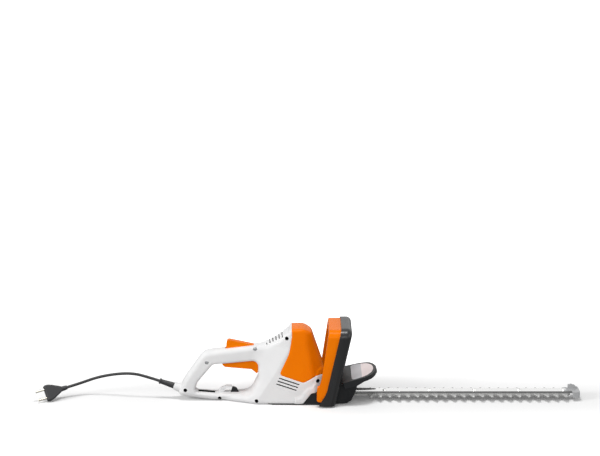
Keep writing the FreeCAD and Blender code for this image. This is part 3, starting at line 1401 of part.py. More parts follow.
leads = []
for side in (-1, 1):
    rear_run = [(-294.5, side * 2.6, 23.3), (-279, side * 2.6, 42), (-264, side * 4, 62),
                (-253, side * 8, 82), (-247, side * 12, 97), (-232, side * 12, 103.5),
                (-158, side * 12, 103.5)]
    front_run = [(-144.5, side * 11, 104), (-120, side * 11, 105), (-90, side * 16, 112),
                 (-66, side * 23, 118), (-52, side * 23, 120), (MOTOR_X - 4.3, side * 23, 120)]
    leads.append(tube(rear_run, 1.1)[0].cut(sleeve).cut(switch_case))
    leads.append(tube(front_run, 1.1)[0].cut(switch_case))
feature("internal_leads", leads)

CORD_POINTS = [
    (-343.5, 0, 40.4), (-366.2, 0, 48.3), (-399, 4, 56), (-438, 13, 52), (-480, 20, 42),
    (-518.1, 16.1, 29.0), (-544.6, 2.8, 24.5),
]
PLUG_AXIS = (Vector(*CORD_POINTS[-1]) - Vector(*CORD_POINTS[-2])).normalize()
PLUG_SIDE = Vector(-0.345, 0.399, 0.850)
PLUG_SIDE = (PLUG_SIDE - PLUG_AXIS * PLUG_SIDE.dot(PLUG_AXIS)).normalize()
PLUG_NORMAL = PLUG_AXIS.cross(PLUG_SIDE)
plug_centre = Vector(*CORD_POINTS[-1]) + PLUG_AXIS * 32
plug_place = Placement(Matrix(
    PLUG_AXIS.x, PLUG_SIDE.x, PLUG_NORMAL.x, plug_centre.x,
    PLUG_AXIS.y, PLUG_SIDE.y, PLUG_NORMAL.y, plug_centre.y,
    PLUG_AXIS.z, PLUG_SIDE.z, PLUG_NORMAL.z, plug_centre.z, 0, 0, 0, 1))

cord, cord_length, cord_bends = tube(CORD_POINTS, d.cord_radius)
feature("power_cord", cord)
print("cord bend radii", [round(bend, 1) for bend in cord_bends], "smallest allowed", 10 * d.cord_radius)
print("cord length", round(cord_length, 1), "volume ratio",
      round(cord.Volume / (math.pi * d.cord_radius ** 2 * cord_length), 4))


def plug():
    """Moulded two-pin plug drawn about its own centre, pins along +X."""
    half = d.plug_half
    back = d.plug_body - 17
    outline = [(17, -half, 3), (8, -half, 4), (-2, 3.5 - half, 8), (-back, -6, 0),
               (-back, 6, 0), (-2, half - 3.5, 8), (8, half, 4), (17, half, 3)]
    body = prism(outline, xy, -d.plug_thickness / 2, d.plug_thickness / 2)
    body = body.makeFillet(3.0, edges_where(body, flat_rim))
    relief = cone(6.0, 4.5, (-back + 2, 0, 0), (-32, 0, 0))
    out = d.plug_pin_spacing / 2
    pin = rod(d.plug_pin_radius, (17, out, 0), (17 + d.plug_pin_length, out, 0))
    pins = both(pin.fuse(rod(d.plug_pin_radius - 0.6, (10, out, 0), (17, out, 0))))
    body = join([body, relief]).cut(Part.makeCompound(pins))
    for shape in [body] + pins:
        shape.Placement = plug_place
    return body, pins


def flat_rim(edge):
    """True for the long edges round the flat faces of the plug, its rear end left out."""
    box = edge.BoundBox
    return box.ZLength < 1e-3 and abs(abs(box.ZMin) - d.plug_thickness / 2) < 1e-3 and box.XMax > -17.9


plug_body, plug_pins = plug()
feature("plug_body", plug_body)
feature("plug_pins", plug_pins)

# ---------------------------------------------------------------- check and export

doc.recompute()
for item in doc.Objects:
    if "Invalid" in item.State or "Error" in item.State:
        raise RuntimeError(f"{item.Label} did not compute: {item.State}")
for node in nodes:
    if node.Shape.isNull() or not node.Shape.isValid():
        raise RuntimeError(f"{node.Label} has no valid shape")
    node.Shape.exportStep(f"parts/{node.Label}.step")
print("wrote", len(nodes), "sub-parts")
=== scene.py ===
import json
import math

import bmesh
import bpy
import numpy as np
from mathutils import Matrix, Vector
from mathutils.geometry import delaunay_2d_cdt


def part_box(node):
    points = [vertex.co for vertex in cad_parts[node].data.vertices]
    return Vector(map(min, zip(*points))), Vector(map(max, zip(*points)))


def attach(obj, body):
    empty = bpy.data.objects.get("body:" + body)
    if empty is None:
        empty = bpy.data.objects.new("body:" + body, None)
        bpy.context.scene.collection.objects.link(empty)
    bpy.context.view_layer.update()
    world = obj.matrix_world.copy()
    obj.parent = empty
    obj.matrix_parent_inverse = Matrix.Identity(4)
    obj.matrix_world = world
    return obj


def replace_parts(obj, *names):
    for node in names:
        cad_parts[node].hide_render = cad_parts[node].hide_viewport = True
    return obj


# Corded hedge trimmer: surfaces, finishes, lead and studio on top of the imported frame.
# Outlines are in millimetres in the row frame (x along the blade, z up); meshes are in metres.

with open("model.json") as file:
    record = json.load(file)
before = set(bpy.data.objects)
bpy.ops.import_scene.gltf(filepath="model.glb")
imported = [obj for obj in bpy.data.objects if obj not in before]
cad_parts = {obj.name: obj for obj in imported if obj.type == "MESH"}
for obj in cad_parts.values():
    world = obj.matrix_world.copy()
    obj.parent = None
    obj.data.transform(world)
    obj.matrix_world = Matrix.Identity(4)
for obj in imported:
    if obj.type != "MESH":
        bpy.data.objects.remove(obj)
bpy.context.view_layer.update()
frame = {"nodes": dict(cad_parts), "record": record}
nodes = frame["nodes"]
scene = bpy.context.scene
MM = 0.001

# ---------------------------------------------------------------- camera

LENS, SENSOR, CLIP_END = 97.0, 36.0, 60.0
CAMERA_PLACE = (-0.0391, -3.3308, 1.1644)
LOOKING_DOWN = 13.25  # degrees

camera_data = bpy.data.cameras.new("camera")
camera_data.lens = LENS
camera_data.sensor_width = SENSOR
camera_data.clip_end = CLIP_END
camera = bpy.data.objects.new("camera", camera_data)
scene.collection.objects.link(camera)
camera.location = CAMERA_PLACE
camera.rotation_euler = (math.radians(90 - LOOKING_DOWN), 0, 0)
scene.camera = camera

# ---------------------------------------------------------------- nodes and their sockets

COLOUR, FLOAT, VECTOR = "NodeSocketColor", "NodeSocketFloat", "NodeSocketVector"


def new_group(name, inputs, outputs):
    """An empty shader group with its named sockets; returns the tree and its two end nodes."""
    tree = bpy.data.node_groups.new(name, "ShaderNodeTree")
    for label, kind, value in inputs:
        socket = tree.interface.new_socket(label, in_out="INPUT", socket_type=kind)
        socket.default_value = value
    for label, kind in outputs:
        tree.interface.new_socket(label, in_out="OUTPUT", socket_type=kind)
    return tree, tree.nodes.new("NodeGroupInput"), tree.nodes.new("NodeGroupOutput")


def join(tree, *pairs):
    for out, into in pairs:
        tree.links.new(out, into)


def feed(tree, source, socket):
    """Gives a socket another node's output or a plain value."""
    if isinstance(source, bpy.types.NodeSocket):
        tree.links.new(source, socket)
    else:
        socket.default_value = source


def add(tree, kind, **settings):
    """A node with its settings; a name that isn't one of its settings is fed to that socket."""
    node = tree.nodes.new(kind)
    for name, value in settings.items():
        if hasattr(node, name):
            setattr(node, name, value)
        else:
            feed(tree, value, node.inputs[name.replace("_", " ")])
    return node


MIX_AMOUNT, MIX_FIRST, MIX_SECOND, MIX_RESULT = 0, 6, 7, 2


def mixed(tree, amount, first, second):
    """The first colour where the amount is 0, the second where it is 1."""
    mix = add(tree, "ShaderNodeMix", data_type="RGBA")
    for socket, source in ((MIX_AMOUNT, amount), (MIX_FIRST, first), (MIX_SECOND, second)):
        feed(tree, source, mix.inputs[socket])
    return mix.outputs[MIX_RESULT]


def product(tree, first, second, use_clamp=False):
    multiply = add(tree, "ShaderNodeMath", operation="MULTIPLY", use_clamp=use_clamp)
    join(tree, (first, multiply.inputs[0]), (second, multiply.inputs[1]))
    return multiply.outputs[0]


def ranged(tree, value, **ends):
    """A value mapped from one range to another and held at its ends."""
    return add(tree, "ShaderNodeMapRange", clamp=True, Value=value, **ends).outputs["Result"]


def noise(tree, place, **settings):
    return add(tree, "ShaderNodeTexNoise", Vector=place, **settings).outputs["Fac"]


# ---------------------------------------------------------------- effects that finishes share


def grain_group():
    """Spark-eroded skin of a moulding: fine grain, and slow drift of tone and gloss."""
    tree, given, out = new_group("moulded_grain", [
        ("Colour", COLOUR, (0.8, 0.8, 0.8, 1)), ("Deep Colour", COLOUR, (0.7, 0.7, 0.7, 1)),
        ("Scale", FLOAT, 900.0), ("Gloss Low", FLOAT, 0.35), ("Gloss High", FLOAT, 0.5),
    ], [("Colour", COLOUR), ("Roughness", FLOAT), ("Height", FLOAT)])
    place = add(tree, "ShaderNodeTexCoord").outputs["Object"]
    fine = noise(tree, place, Scale=given.outputs["Scale"], Detail=3.0, Roughness=0.6)
    drift = noise(tree, place, Scale=14.0, Detail=3.0, Roughness=0.55)
    tone = mixed(tree, ranged(tree, drift, From_Min=0.35, From_Max=0.7),
                 given.outputs["Colour"], given.outputs["Deep Colour"])
    gloss = ranged(tree, fine, To_Min=given.outputs["Gloss Low"],
                   To_Max=given.outputs["Gloss High"])
    join(tree, (tone, out.inputs["Colour"]), (gloss, out.inputs["Roughness"]),
         (fine, out.inputs["Height"]))
    return tree


def scuff_group():
    """Edge rubbing and loose dust, laid over a base colour."""
    tree, given, out = new_group("rubbed_and_dusty", [
        ("Colour", COLOUR, (0.5, 0.5, 0.5, 1)), ("Rubbed Colour", COLOUR, (0.6, 0.6, 0.6, 1)),
        ("Dust Colour", COLOUR, (0.6, 0.58, 0.54, 1)), ("Rubbing", FLOAT, 0.5),
        ("Dust", FLOAT, 0.1),
    ], [("Colour", COLOUR)])
    place = add(tree, "ShaderNodeTexCoord")
    patches = noise(tree, place.outputs["Object"], Scale=60.0, Detail=4.0)
    pointed = add(tree, "ShaderNodeNewGeometry").outputs["Pointiness"]
    ridge = ranged(tree, pointed, From_Min=0.53, From_Max=0.62)
    rubbed = product(tree, product(tree, ridge, patches), given.outputs["Rubbing"], use_clamp=True)
    worn = mixed(tree, rubbed, given.outputs["Colour"], given.outputs["Rubbed Colour"])
    upward = add(tree, "ShaderNodeSeparateXYZ", Vector=place.outputs["Normal"]).outputs["Z"]
    settled = product(tree, ranged(tree, upward, From_Min=0.5), patches)
    dusted = product(tree, settled, given.outputs["Dust"], use_clamp=True)
    join(tree, (mixed(tree, dusted, worn, given.outputs["Dust Colour"]), out.inputs["Colour"]))
    return tree


def grinding_group():
    """Long fine marks of grinding or rolling; Stretch sets the direction they run in."""
    tree, given, out = new_group("grinding_marks", [
        ("Colour", COLOUR, (0.6, 0.6, 0.6, 1)), ("Dark Colour", COLOUR, (0.4, 0.4, 0.4, 1)),
        ("Stretch", VECTOR, (20.0, 900.0, 900.0)), ("Gloss Low", FLOAT, 0.2),
        ("Gloss High", FLOAT, 0.4),
    ], [("Colour", COLOUR), ("Roughness", FLOAT), ("Height", FLOAT)])
    place = add(tree, "ShaderNodeTexCoord").outputs["Object"]
    run = add(tree, "ShaderNodeVectorMath", operation="MULTIPLY")
    join(tree, (place, run.inputs[0]), (given.outputs["Stretch"], run.inputs[1]))
    marks = noise(tree, run.outputs[0], Scale=1.0, Detail=4.0, Roughness=0.65)
    stain = noise(tree, place, Scale=30.0, Detail=4.0)
    tone = mixed(tree, product(tree, marks, stain), given.outputs["Colour"],
                 given.outputs["Dark Colour"])
    gloss = ranged(tree, marks, To_Min=given.outputs["Gloss Low"],
                   To_Max=given.outputs["Gloss High"])
    join(tree, (tone, out.inputs["Colour"]), (gloss, out.inputs["Roughness"]),
         (marks, out.inputs["Height"]))
    return tree


GRAIN, SCUFF, GRINDING = grain_group(), scuff_group(), grinding_group()

# ---------------------------------------------------------------- finishes


def rgba(red, green, blue):
    """Linear colour from the 0-255 values that a screen shows."""
    def linear(value):
        value /= 255
        return value / 12.92 if value <= 0.04045 else ((value + 0.055) / 1.055) ** 2.4
    return (linear(red), linear(green), linear(blue), 1.0)


def blank_material(name, **sockets):
    material = bpy.data.materials.new(name)
    material.use_nodes = True
    shader = material.node_tree.nodes["Principled BSDF"]
    for socket, value in sockets.items():
        shader.inputs[socket.replace("_", " ")].default_value = value
    return material, material.node_tree, shader


def use_group(tree, group, gloss=None, **values):
    """A shared effect placed in a material; gloss is its pair of lowest and highest roughness."""
    if gloss:
        values.update(Gloss_Low=gloss[0], Gloss_High=gloss[1])
    return add(tree, "ShaderNodeGroup", node_tree=group, **values)


def dress(tree, shader, colour, effect, depth, strength):
    """Feeds the shader a colour, and the roughness and relief of an effect; depth is in metres."""
    bump = add(tree, "ShaderNodeBump", Strength=strength, Distance=depth,
               Height=effect.outputs["Height"])
    join(tree, (colour, shader.inputs["Base Color"]),
         (effect.outputs["Roughness"], shader.inputs["Roughness"]),
         (bump.outputs["Normal"], shader.inputs["Normal"]))


GRAIN_RELIEF, MARK_RELIEF = 0.5, 0.3
MARK_DEPTH = 0.00002  # metres


def plastic(name, colour, deep, rubbed, gloss=(0.35, 0.5), grain=900.0, depth=0.00004,
            rubbing=0.5, dust=0.06, **sockets):
    """Moulded plastic or rubber with grain, rubbed edges and a little dust."""
    material, tree, shader = blank_material(name, **sockets)
    skin = use_group(tree, GRAIN, gloss, Colour=colour, Deep_Colour=deep, Scale=grain)
    wear = use_group(tree, SCUFF, Colour=skin.outputs["Colour"], Rubbed_Colour=rubbed,
                     Rubbing=rubbing, Dust=dust)
    dress(tree, shader, wear.outputs["Colour"], skin, depth, GRAIN_RELIEF)
    return material


def metal(name, colour, dark, stretch=(20.0, 900.0, 900.0), gloss=(0.2, 0.4), depth=MARK_DEPTH,
          metallic=1.0):
    """Ground, rolled or plated metal with marks along one direction."""
    material, tree, shader = blank_material(name, Metallic=metallic)
    marks = use_group(tree, GRINDING, gloss, Colour=colour, Dark_Colour=dark, Stretch=stretch)
    dress(tree, shader, marks.outputs["Colour"], marks, depth, MARK_RELIEF)
    return material


def rolled_steel():
    """Bright rolled bar whose side faces are painted darker than its top, as painted shade."""
    material, tree, shader = blank_material("rolled_bar_steel", Metallic=1.0)
    bright = use_group(tree, GRINDING, (0.2, 0.32), Colour=rgba(240, 240, 239),
                       Dark_Colour=rgba(218, 218, 217))
    # Painted shade: faces that don't look up get a dark grey, the top stays bright.
    facing = add(tree, "ShaderNodeTexCoord").outputs["Normal"]
    upward = add(tree, "ShaderNodeSeparateXYZ", Vector=facing).outputs["Z"]
    tone = mixed(tree, ranged(tree, upward, From_Min=0.35, From_Max=0.75),
                 rgba(140, 140, 140), bright.outputs["Colour"])
    dress(tree, shader, tone, bright, MARK_DEPTH, MARK_RELIEF)
    return material


def label_film():
    """Printed film in two plain tones that meet on a line across the guard."""
    seam, seam_width = 0.0930, 0.0006
    material, tree, shader = blank_material("label_film", Coat_Weight=0.25)
    grey, pale = (use_group(tree, GRAIN, (0.3, 0.42), Colour=colour, Deep_Colour=deep, Scale=500.0)
                  for colour, deep in ((rgba(176, 175, 179), rgba(168, 167, 171)),
                                       (rgba(228, 214, 213), rgba(222, 206, 206))))
    place = add(tree, "ShaderNodeTexCoord").outputs["Object"]
    along = add(tree, "ShaderNodeSeparateXYZ", Vector=place).outputs["X"]
    tone = mixed(tree, ranged(tree, along, From_Min=seam, From_Max=seam + seam_width),
                 grey.outputs["Colour"], pale.outputs["Colour"])
    dress(tree, shader, tone, grey, MARK_DEPTH, GRAIN_RELIEF)
    return material


WHITE = plastic("white_casing", rgba(228, 228, 228), rgba(222, 222, 223), rgba(240, 240, 239),
                gloss=(0.34, 0.46), dust=0.03, Specular_IOR_Level=0.22)
ORANGE = plastic("orange_cover", rgba(244, 124, 0), rgba(240, 119, 0), rgba(255, 146, 24),
                 gloss=(0.22, 0.32), rubbing=0.4, dust=0.0, Specular_IOR_Level=0.06)
DARK = plastic("dark_handle", rgba(16, 17, 19), rgba(13, 14, 16), rgba(44, 45, 47),
               gloss=(0.24, 0.36), grain=700.0, depth=0.00008, Specular_IOR_Level=0.45)
BLACK = plastic("black_case", rgba(30, 32, 34), rgba(25, 27, 29), rgba(54, 55, 57),
                gloss=(0.38, 0.55), grain=700.0, depth=0.00009, Specular_IOR_Level=0.22)
GREY = plastic("tip_guard_grey", rgba(176, 177, 178), rgba(165, 166, 168), rgba(196, 196, 196),
               gloss=(0.4, 0.55))
RUBBER = plastic("lead_rubber", rgba(30, 31, 33), rgba(24, 25, 27), rgba(52, 53, 55),
                 gloss=(0.42, 0.6), grain=1200.0, dust=0.1)
FELT = plastic("oiled_felt", rgba(84, 83, 82), rgba(60, 60, 60), rgba(96, 96, 94),
               gloss=(0.7, 0.95), grain=2500.0, depth=0.0003, rubbing=0.0, Sheen_Weight=0.3)
FAN = plastic("fan_black", rgba(40, 40, 42), rgba(32, 32, 33), rgba(60, 60, 60))
CARBON = plastic("brush_carbon", rgba(44, 44, 46), rgba(30, 30, 32), rgba(70, 70, 72),
                 gloss=(0.5, 0.7))
BLADE_STEEL = metal("ground_blade_steel", rgba(186, 186, 185), rgba(158, 158, 157),
                    stretch=(900.0, 40.0, 900.0), gloss=(0.48, 0.6), metallic=0.4)
BAR_STEEL = rolled_steel()
BRIGHT_STEEL = metal("bright_bolts", rgba(236, 236, 235), rgba(210, 210, 209), gloss=(0.25, 0.4))
ZINC = metal("zinc_plated", rgba(196, 198, 200), rgba(150, 152, 154), stretch=(200.0, 200.0, 200.0),
             gloss=(0.28, 0.45))
MACHINED = metal("oiled_steel", rgba(170, 170, 168), rgba(120, 120, 118),
                 stretch=(300.0, 300.0, 60.0))
SPRING = metal("spring_wire", rgba(160, 160, 160), rgba(110, 110, 110),
               stretch=(400.0, 400.0, 400.0))
CAST = metal("cast_aluminium", rgba(178, 179, 181), rgba(140, 141, 143),
             stretch=(500.0, 500.0, 500.0), gloss=(0.45, 0.65), depth=0.00012)
PLATED = metal("nickel_plated", rgba(206, 203, 192), rgba(168, 164, 150),
               stretch=(250.0, 250.0, 250.0))
LAMINATION = metal("varnished_laminations", rgba(92, 92, 94), rgba(60, 60, 62),
                   stretch=(4.0, 4.0, 2000.0), gloss=(0.4, 0.6), depth=0.0002)
COPPER = metal("enamelled_copper", rgba(200, 112, 62), rgba(140, 66, 34),
               stretch=(60.0, 60.0, 1400.0), gloss=(0.25, 0.4), depth=0.0002)
BLACKENED = metal("blackened_screws", rgba(40, 40, 41), rgba(24, 24, 25),
                  stretch=(200.0, 200.0, 200.0), gloss=(0.45, 0.6))
SHEET_STEEL = plastic("painted_plate", rgba(34, 35, 37), rgba(28, 29, 31), rgba(90, 90, 90),
                      gloss=(0.45, 0.6), rubbing=0.7)
LABEL = label_film()

FINISH_OF_SLOT = {
    "white_shell": WHITE, "orange_plastic": ORANGE, "black_plastic": BLACK, "printed_label": LABEL,
    "blade_steel": BLADE_STEEL, "bar_steel": BAR_STEEL, "zinc_steel": ZINC, "grey_plastic": GREY,
    "plate_steel": SHEET_STEEL, "ground_steel": MACHINED, "spring_steel": SPRING,
    "lamination": LAMINATION, "copper": COPPER, "carbon": CARBON, "cast_aluminium": CAST,
    "fan_plastic": FAN, "felt": FELT, "black_rubber": RUBBER, "plated_brass": PLATED,
}
SLOT_OF_NODE = {part["node"]: part["material_slot"] for part in frame["record"]["subparts"]}


def give(item, material):
    item.data.materials.clear()
    item.data.materials.append(material)


for node_name, cad_node in nodes.items():
    give(cad_node, FINISH_OF_SLOT[SLOT_OF_NODE[node_name]])
give(nodes["front_handle"], DARK)
give(nodes["housing_screws"], BLACKENED)
give(nodes["blade_bolts"], BRIGHT_STEEL)

# ---------------------------------------------------------------- mesh helpers

DOUBLES, CAD_DOUBLES = 2e-6, 1e-5  # metres
FLAT, SHARP, SQUARE = math.radians(1.0), math.radians(32.0), math.radians(60)


def body_of_node(node):
    bodies = frame["record"]["behaviour"]["bodies"]
    return next(body for body, members in bodies.items() if node in members)


def piece(name, mesh, material, node, smooth_angle=35.0):
    """Links a finished mesh as a piece that moves with a CAD node and has its slot."""
    item = bpy.data.objects.new(name, mesh)
    scene.collection.objects.link(item)
    give(item, material)
    mesh.shade_smooth()
    mesh.set_sharp_from_angle(angle=math.radians(smooth_angle))
    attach(item, body_of_node(node))
    return item


def mesh_of(name, vertices, faces):
    """A mesh in metres from places in millimetres."""
    mesh = bpy.data.meshes.new(name)
    mesh.from_pydata([tuple(c * MM for c in v) for v in vertices], [], faces)
    return mesh


def stacked(loops):
    """Closed solid through loops of the same number of points, from the lowest up."""
    count = len(loops[0])
    vertices = [point for loop in loops for point in loop]
    faces = [tuple(range(count))[::-1], tuple(range(len(vertices) - count, len(vertices)))]
    for ring in range(len(loops) - 1):
        for k in range(count):
            a, b = ring * count + k, ring * count + (k + 1) % count
            faces.append((a, b, b + count, a + count))
    return vertices, faces


def opened(mesh):
    work = bmesh.new()
    work.from_mesh(mesh)
    return work


def closed(work, mesh):
    work.to_mesh(mesh)
    work.free()
    return mesh


def turn_outwards(work):
    bmesh.ops.recalc_face_normals(work, faces=work.faces)


def tidy(work, mesh):
    """Merges doubles, turns the faces outwards and ends the work on a mesh."""
    bmesh.ops.remove_doubles(work, verts=work.verts, dist=DOUBLES)
    turn_outwards(work)
    return closed(work, mesh)


def solid(name, vertices, faces):
    mesh = mesh_of(name, vertices, faces)
    return tidy(opened(mesh), mesh)


def merged_copy(node):
    """A copy of a CAD node's mesh, opened, its triangles merged to flat faces."""
    mesh = nodes[node].data.copy()
    work = opened(mesh)
    bmesh.ops.remove_doubles(work, verts=work.verts, dist=CAD_DOUBLES)
    bmesh.ops.dissolve_limit(work, angle_limit=FLAT, verts=work.verts, edges=work.edges)
    return mesh, work


def round_edges(work, edges, width, segments, clamped=True):
    bmesh.ops.bevel(work, geom=edges, offset=width * MM, segments=segments, profile=0.5,
                    affect="EDGES", clamp_overlap=clamped)


def softened(name, node, width, material=None, segments=3):
    """Stands for a CAD solid with its sharp edges rounded."""
    mesh, work = merged_copy(node)
    turn_outwards(work)
    sharp = [edge for edge in work.edges if edge.is_manifold and edge.calc_face_angle(0) > SHARP]
    round_edges(work, sharp, width, segments)
    item = piece(name, closed(work, mesh), material or FINISH_OF_SLOT[SLOT_OF_NODE[node]], node)
    even = item.modifiers.new("even_normals", "WEIGHTED_NORMAL")
    even.keep_sharp = True
    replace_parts(item, node)


def rounded_loop(corners, step):
    """Points (x, z) along a closed outline of (x, z, radius) corners, about a step apart."""
    count = len(corners)
    joints = []
    for i, (x, z, radius) in enumerate(corners):
        here = Vector((x, z))
        back = (Vector(corners[i - 1][:2]) - here).normalized()
        ahead = (Vector(corners[(i + 1) % count][:2]) - here).normalized()
        half = back.angle(ahead) / 2
        reach = radius / math.tan(half)
        if radius <= 0:
            joints.append([here])
            continue
        middle = here + (back + ahead).normalized() * (radius / math.sin(half))
        start = here + back * reach - middle
        sweep = math.pi - 2 * half
        sign = 1 if back.cross(ahead) < 0 else -1
        turns = max(2, round(radius * sweep / step))
        joints.append([middle + Matrix.Rotation(sign * sweep * k / turns, 2) @ start
                       for k in range(turns + 1)])
    points = []
    for i, arc in enumerate(joints):
        points += arc
        gap = joints[(i + 1) % count][0] - arc[-1]
        parts = max(1, round(gap.length / step))
        points += [arc[-1] + gap * k / parts for k in range(1, parts)]
    return points


TURNED_SIDES, POLE = 48, 1e-3


def turned(name, profile, start, axis, material, node):
    """Surface of revolution; profile is (distance along the axis, radius) in millimetres."""
    around = TURNED_SIDES
    axis = axis.normalized()
    side = axis.orthogonal().normalized()
    other = axis.cross(side)
    vertices, faces = [], []
    for along, radius in profile:
        for k in range(around):
            angle = 2 * math.pi * k / around
            spoke = side * math.cos(angle) + other * math.sin(angle)
            vertices.append(start + axis * along + spoke * max(radius, POLE))
    for ring in range(len(profile) - 1):
        for k in range(around):
            a, b = ring * around + k, ring * around + (k + 1) % around
            faces.append((a, b, b + around, a + around))
    return piece(name, solid(name, vertices, faces), material, node)


# ---------------------------------------------------------------- casing and motor cover

# Side outlines: x, z and the radius of each corner.
SILHOUETTE = [
    (-305, 11.5, 9), (-228, 0, 70), (13, 0, 2), (13, 74, 6), (-15, 156.5, 14), (-32, 164.2, 28),
    (-59, 164.2, 1.5), (-64, 157, 2), (-84, 143.7, 40), (-121, 125.3, 50), (-205, 115.2, 80),
    (-247, 109.5, 30), (-287, 52, 120),
]
FINGER_LOOP = [
    (-268, 19, 7), (-222, 15.2, 60), (-147, 15.6, 22), (-128.5, 54, 28), (-129, 90.7, 13),
    (-227, 81.2, 12), (-261, 40.5, 25),
]
COVER_EDGE = [
    (-58, 180, 0), (-56, 150, 60), (-62, 112, 80), (-83.5, 66, 6), (-31, 48, 12), (-5, 63, 20),
    (30, 67, 0), (30, 180, 0),
]
DARK_EDGE = [
    (-108, -5, 0), (-108, 3, 0), (-33, 3, 8), (-15, 26, 8), (-4, 28, 6), (5, 43, 20), (10, 66, 0),
    (40, 66, 0), (40, -5, 0),
]
# Motor body: x and half width along its foot and along its crown, and the height of the crown.
BULK_LOW = [(-150, 41.5), (-60, 43.5), (0, 43.5), (14, 34)]
BULK_HIGH = [(-100, 28), (-60, 29.5), (-30, 29.5), (-12, 18)]
BULK_TOP = 166.5
# Line where the flat side of the motor body begins, and the heights between which points follow it.
CREASE = [(-134, 0), (-125.5, 18), (-106.4, 47.3), (-85.4, 80.8), (-61.2, 125.4), (-57, 166)]
CREASE_ENDS = (14.0, 120.0)
GRIP_HALF, GRIP_ROUND, LOOP_ROUND = 17.0, 11.0, 5.5
WALL = 2.2
# Screw wells: their places, and how far their floors are from the middle plane.
SCREW_PLACES = [(-286.5, 24.4), (-239.4, 86.6), (-135.5, 116.8), (-67.2, 144.8), (-212.6, 6.4),
                (-132.4, 8), (-1.0, 52)]
WELL_RADIUS, WELL_SIDES = 4.1, 24
WELL_FLOORS = [8.5, 13.0, 13.4, 8.5, 8.5, 8.5, 8.5]
GRIP_FLOOR = 12.0
TRIGGER_SLOT, POCKET_SLOT = 9.5, 6.5
OPEN_RIMS = (
    # outline, half width, x from and to, z from and to: trigger, hanging pocket, lockout lever
    ("loop", TRIGGER_SLOT, -213, -125.5, 60, math.inf),
    ("loop", POCKET_SLOT, -260, -222.5, -math.inf, 30),
    ("outer", math.inf, -199, -138.5, 100, math.inf),
)
# Distance between the points of each line.
OUTER_STEP, LOOP_STEP, SEAM_STEP, VENT_STEP, CREASE_STEP = 2.2, 2.0, 1.8, 1.2, 2.5


def slot_outline(x, z, length, width, angle):
    """Long hole with round ends, about its centre."""
    corners = [(-length / 2, -width / 2), (length / 2, -width / 2), (length / 2, width / 2),
               (-length / 2, width / 2)]
    turn = Matrix.Rotation(math.radians(angle), 2)
    placed = [turn @ Vector(corner) + Vector((x, z)) for corner in corners]
    return [(p.x, p.y, width * VENT_ROUND) for p in placed]


VENT_WIDTH, VENT_ROUND = 2.6, 0.42
CREST_VENTS = [slot_outline(-110.4 + 6.6 * i, 128.5 + 3.76 * i, 3.6 + 0.25 * i, VENT_WIDTH, 103.0)
               for i in range(6)]
SIDE_VENTS = [slot_outline(-62 - 3.2 * i, 51.7 - 6.2 * i, 46.0, VENT_WIDTH, -18.1)
              for i in range(3)]


def as_array(points):
    return np.array([(p[0], p[1]) for p in points], float)


WELLS = [as_array([(x + WELL_RADIUS * math.cos(a), z + WELL_RADIUS * math.sin(a))
                   for a in np.linspace(0, 2 * math.pi, WELL_SIDES + 1)[:-1]])
         for x, z in SCREW_PLACES]
OUTER = as_array(rounded_loop(SILHOUETTE, OUTER_STEP))
LOOP = as_array(rounded_loop(FINGER_LOOP, LOOP_STEP))


def distance_to(points, loop):
    """Distance from each point to a closed polyline."""
    a, b = loop, np.roll(loop, -1, axis=0)
    run = b - a
    best = np.full(len(points), 1e9)
    for start, step in zip(a, run):
        length = max(step @ step, 1e-12)
        t = np.clip((points - start) @ step / length, 0, 1)
        best = np.minimum(best, np.linalg.norm(points - start - t[:, None] * step, axis=1))
    return best


def inside(points, loop):
    x, z = points[:, 0], points[:, 1]
    hit = np.zeros(len(points), bool)
    for (x0, z0), (x1, z1) in zip(loop, np.roll(loop, -1, axis=0)):
        if z0 != z1:
            hit ^= ((z0 > z) != (z1 > z)) & (x < (x1 - x0) * (z - z0) / (z1 - z0) + x0)
    return hit


def smoothstep(t):
    t = np.clip(t, 0, 1)
    return t * t * (3 - 2 * t)


def edge_drop(distance, radius):
    """How far a rounded edge falls away at a distance from the outline."""
    t = np.clip(radius - distance, 0, radius)
    return radius - np.sqrt(np.maximum(radius * radius - t * t, 0))


def crease_at(z):
    """Where the flat side of the motor body begins, by height."""
    return np.interp(z, [p[1] for p in CREASE], [p[0] for p in CREASE])


SOFTENING = (-5, -2.5, 0, 2.5, 5)
CREASE_SLOPE, SLOPE_LESS_ABOVE, CREASE_SOFT = 0.38, 0.16, 0.8


def bulk_half(x, z):
    """Half width of the motor body: flat sides from the crease forwards, sloping in behind it."""
    low, high = np.array(BULK_LOW, float), np.array(BULK_HIGH, float)
    f = (z / BULK_TOP)[:, None]
    along = low[:, 0] + (high[:, 0] - low[:, 0]) * f
    wide = low[:, 1] + (high[:, 1] - low[:, 1]) * f
    last = len(BULK_LOW) - 2
    total = np.zeros(len(x))
    for shift in SOFTENING:
        at = x + shift
        result = wide[:, 0]
        for i in range(last + 1):
            t = (at - along[:, i]) / (along[:, i + 1] - along[:, i])
            here = t >= 0 if i == last else (t >= 0) & (t < 1)
            result = np.where(here, wide[:, i] + (wide[:, i + 1] - wide[:, i]) * t, result)
        total += result
    behind = crease_at(z) - x
    slope = CREASE_SLOPE - SLOPE_LESS_ABOVE * f[:, 0]
    return total / len(SOFTENING) - slope * CREASE_SOFT * np.logaddexp(0, behind / CREASE_SOFT)


# The rounding of the motor body's edge, which is smaller over its crown and at its foot.
BODY_ROUND, BODY_LOOP_ROUND = 13, 8.0
CROWN_SHARPER, CROWN_FROM, CROWN_RUN, CROWN_RISE = 7.5, -90, 30, 40
FOOT_SHARPER, FOOT_FROM, FOOT_RISE = 6, 5, 30
GRIP_BLEND = 5.0
# The raised rim beside the dark case, and the grooves at the seams.
RIM_SWELL, RIM_WIDTH, RIM_FALL, RIM_FROM = 2.0, 13, 1.4, -50
COVER_GROOVE, DARK_GROOVE, GROOVE_WIDTH = 0.5, 0.4, 0.9


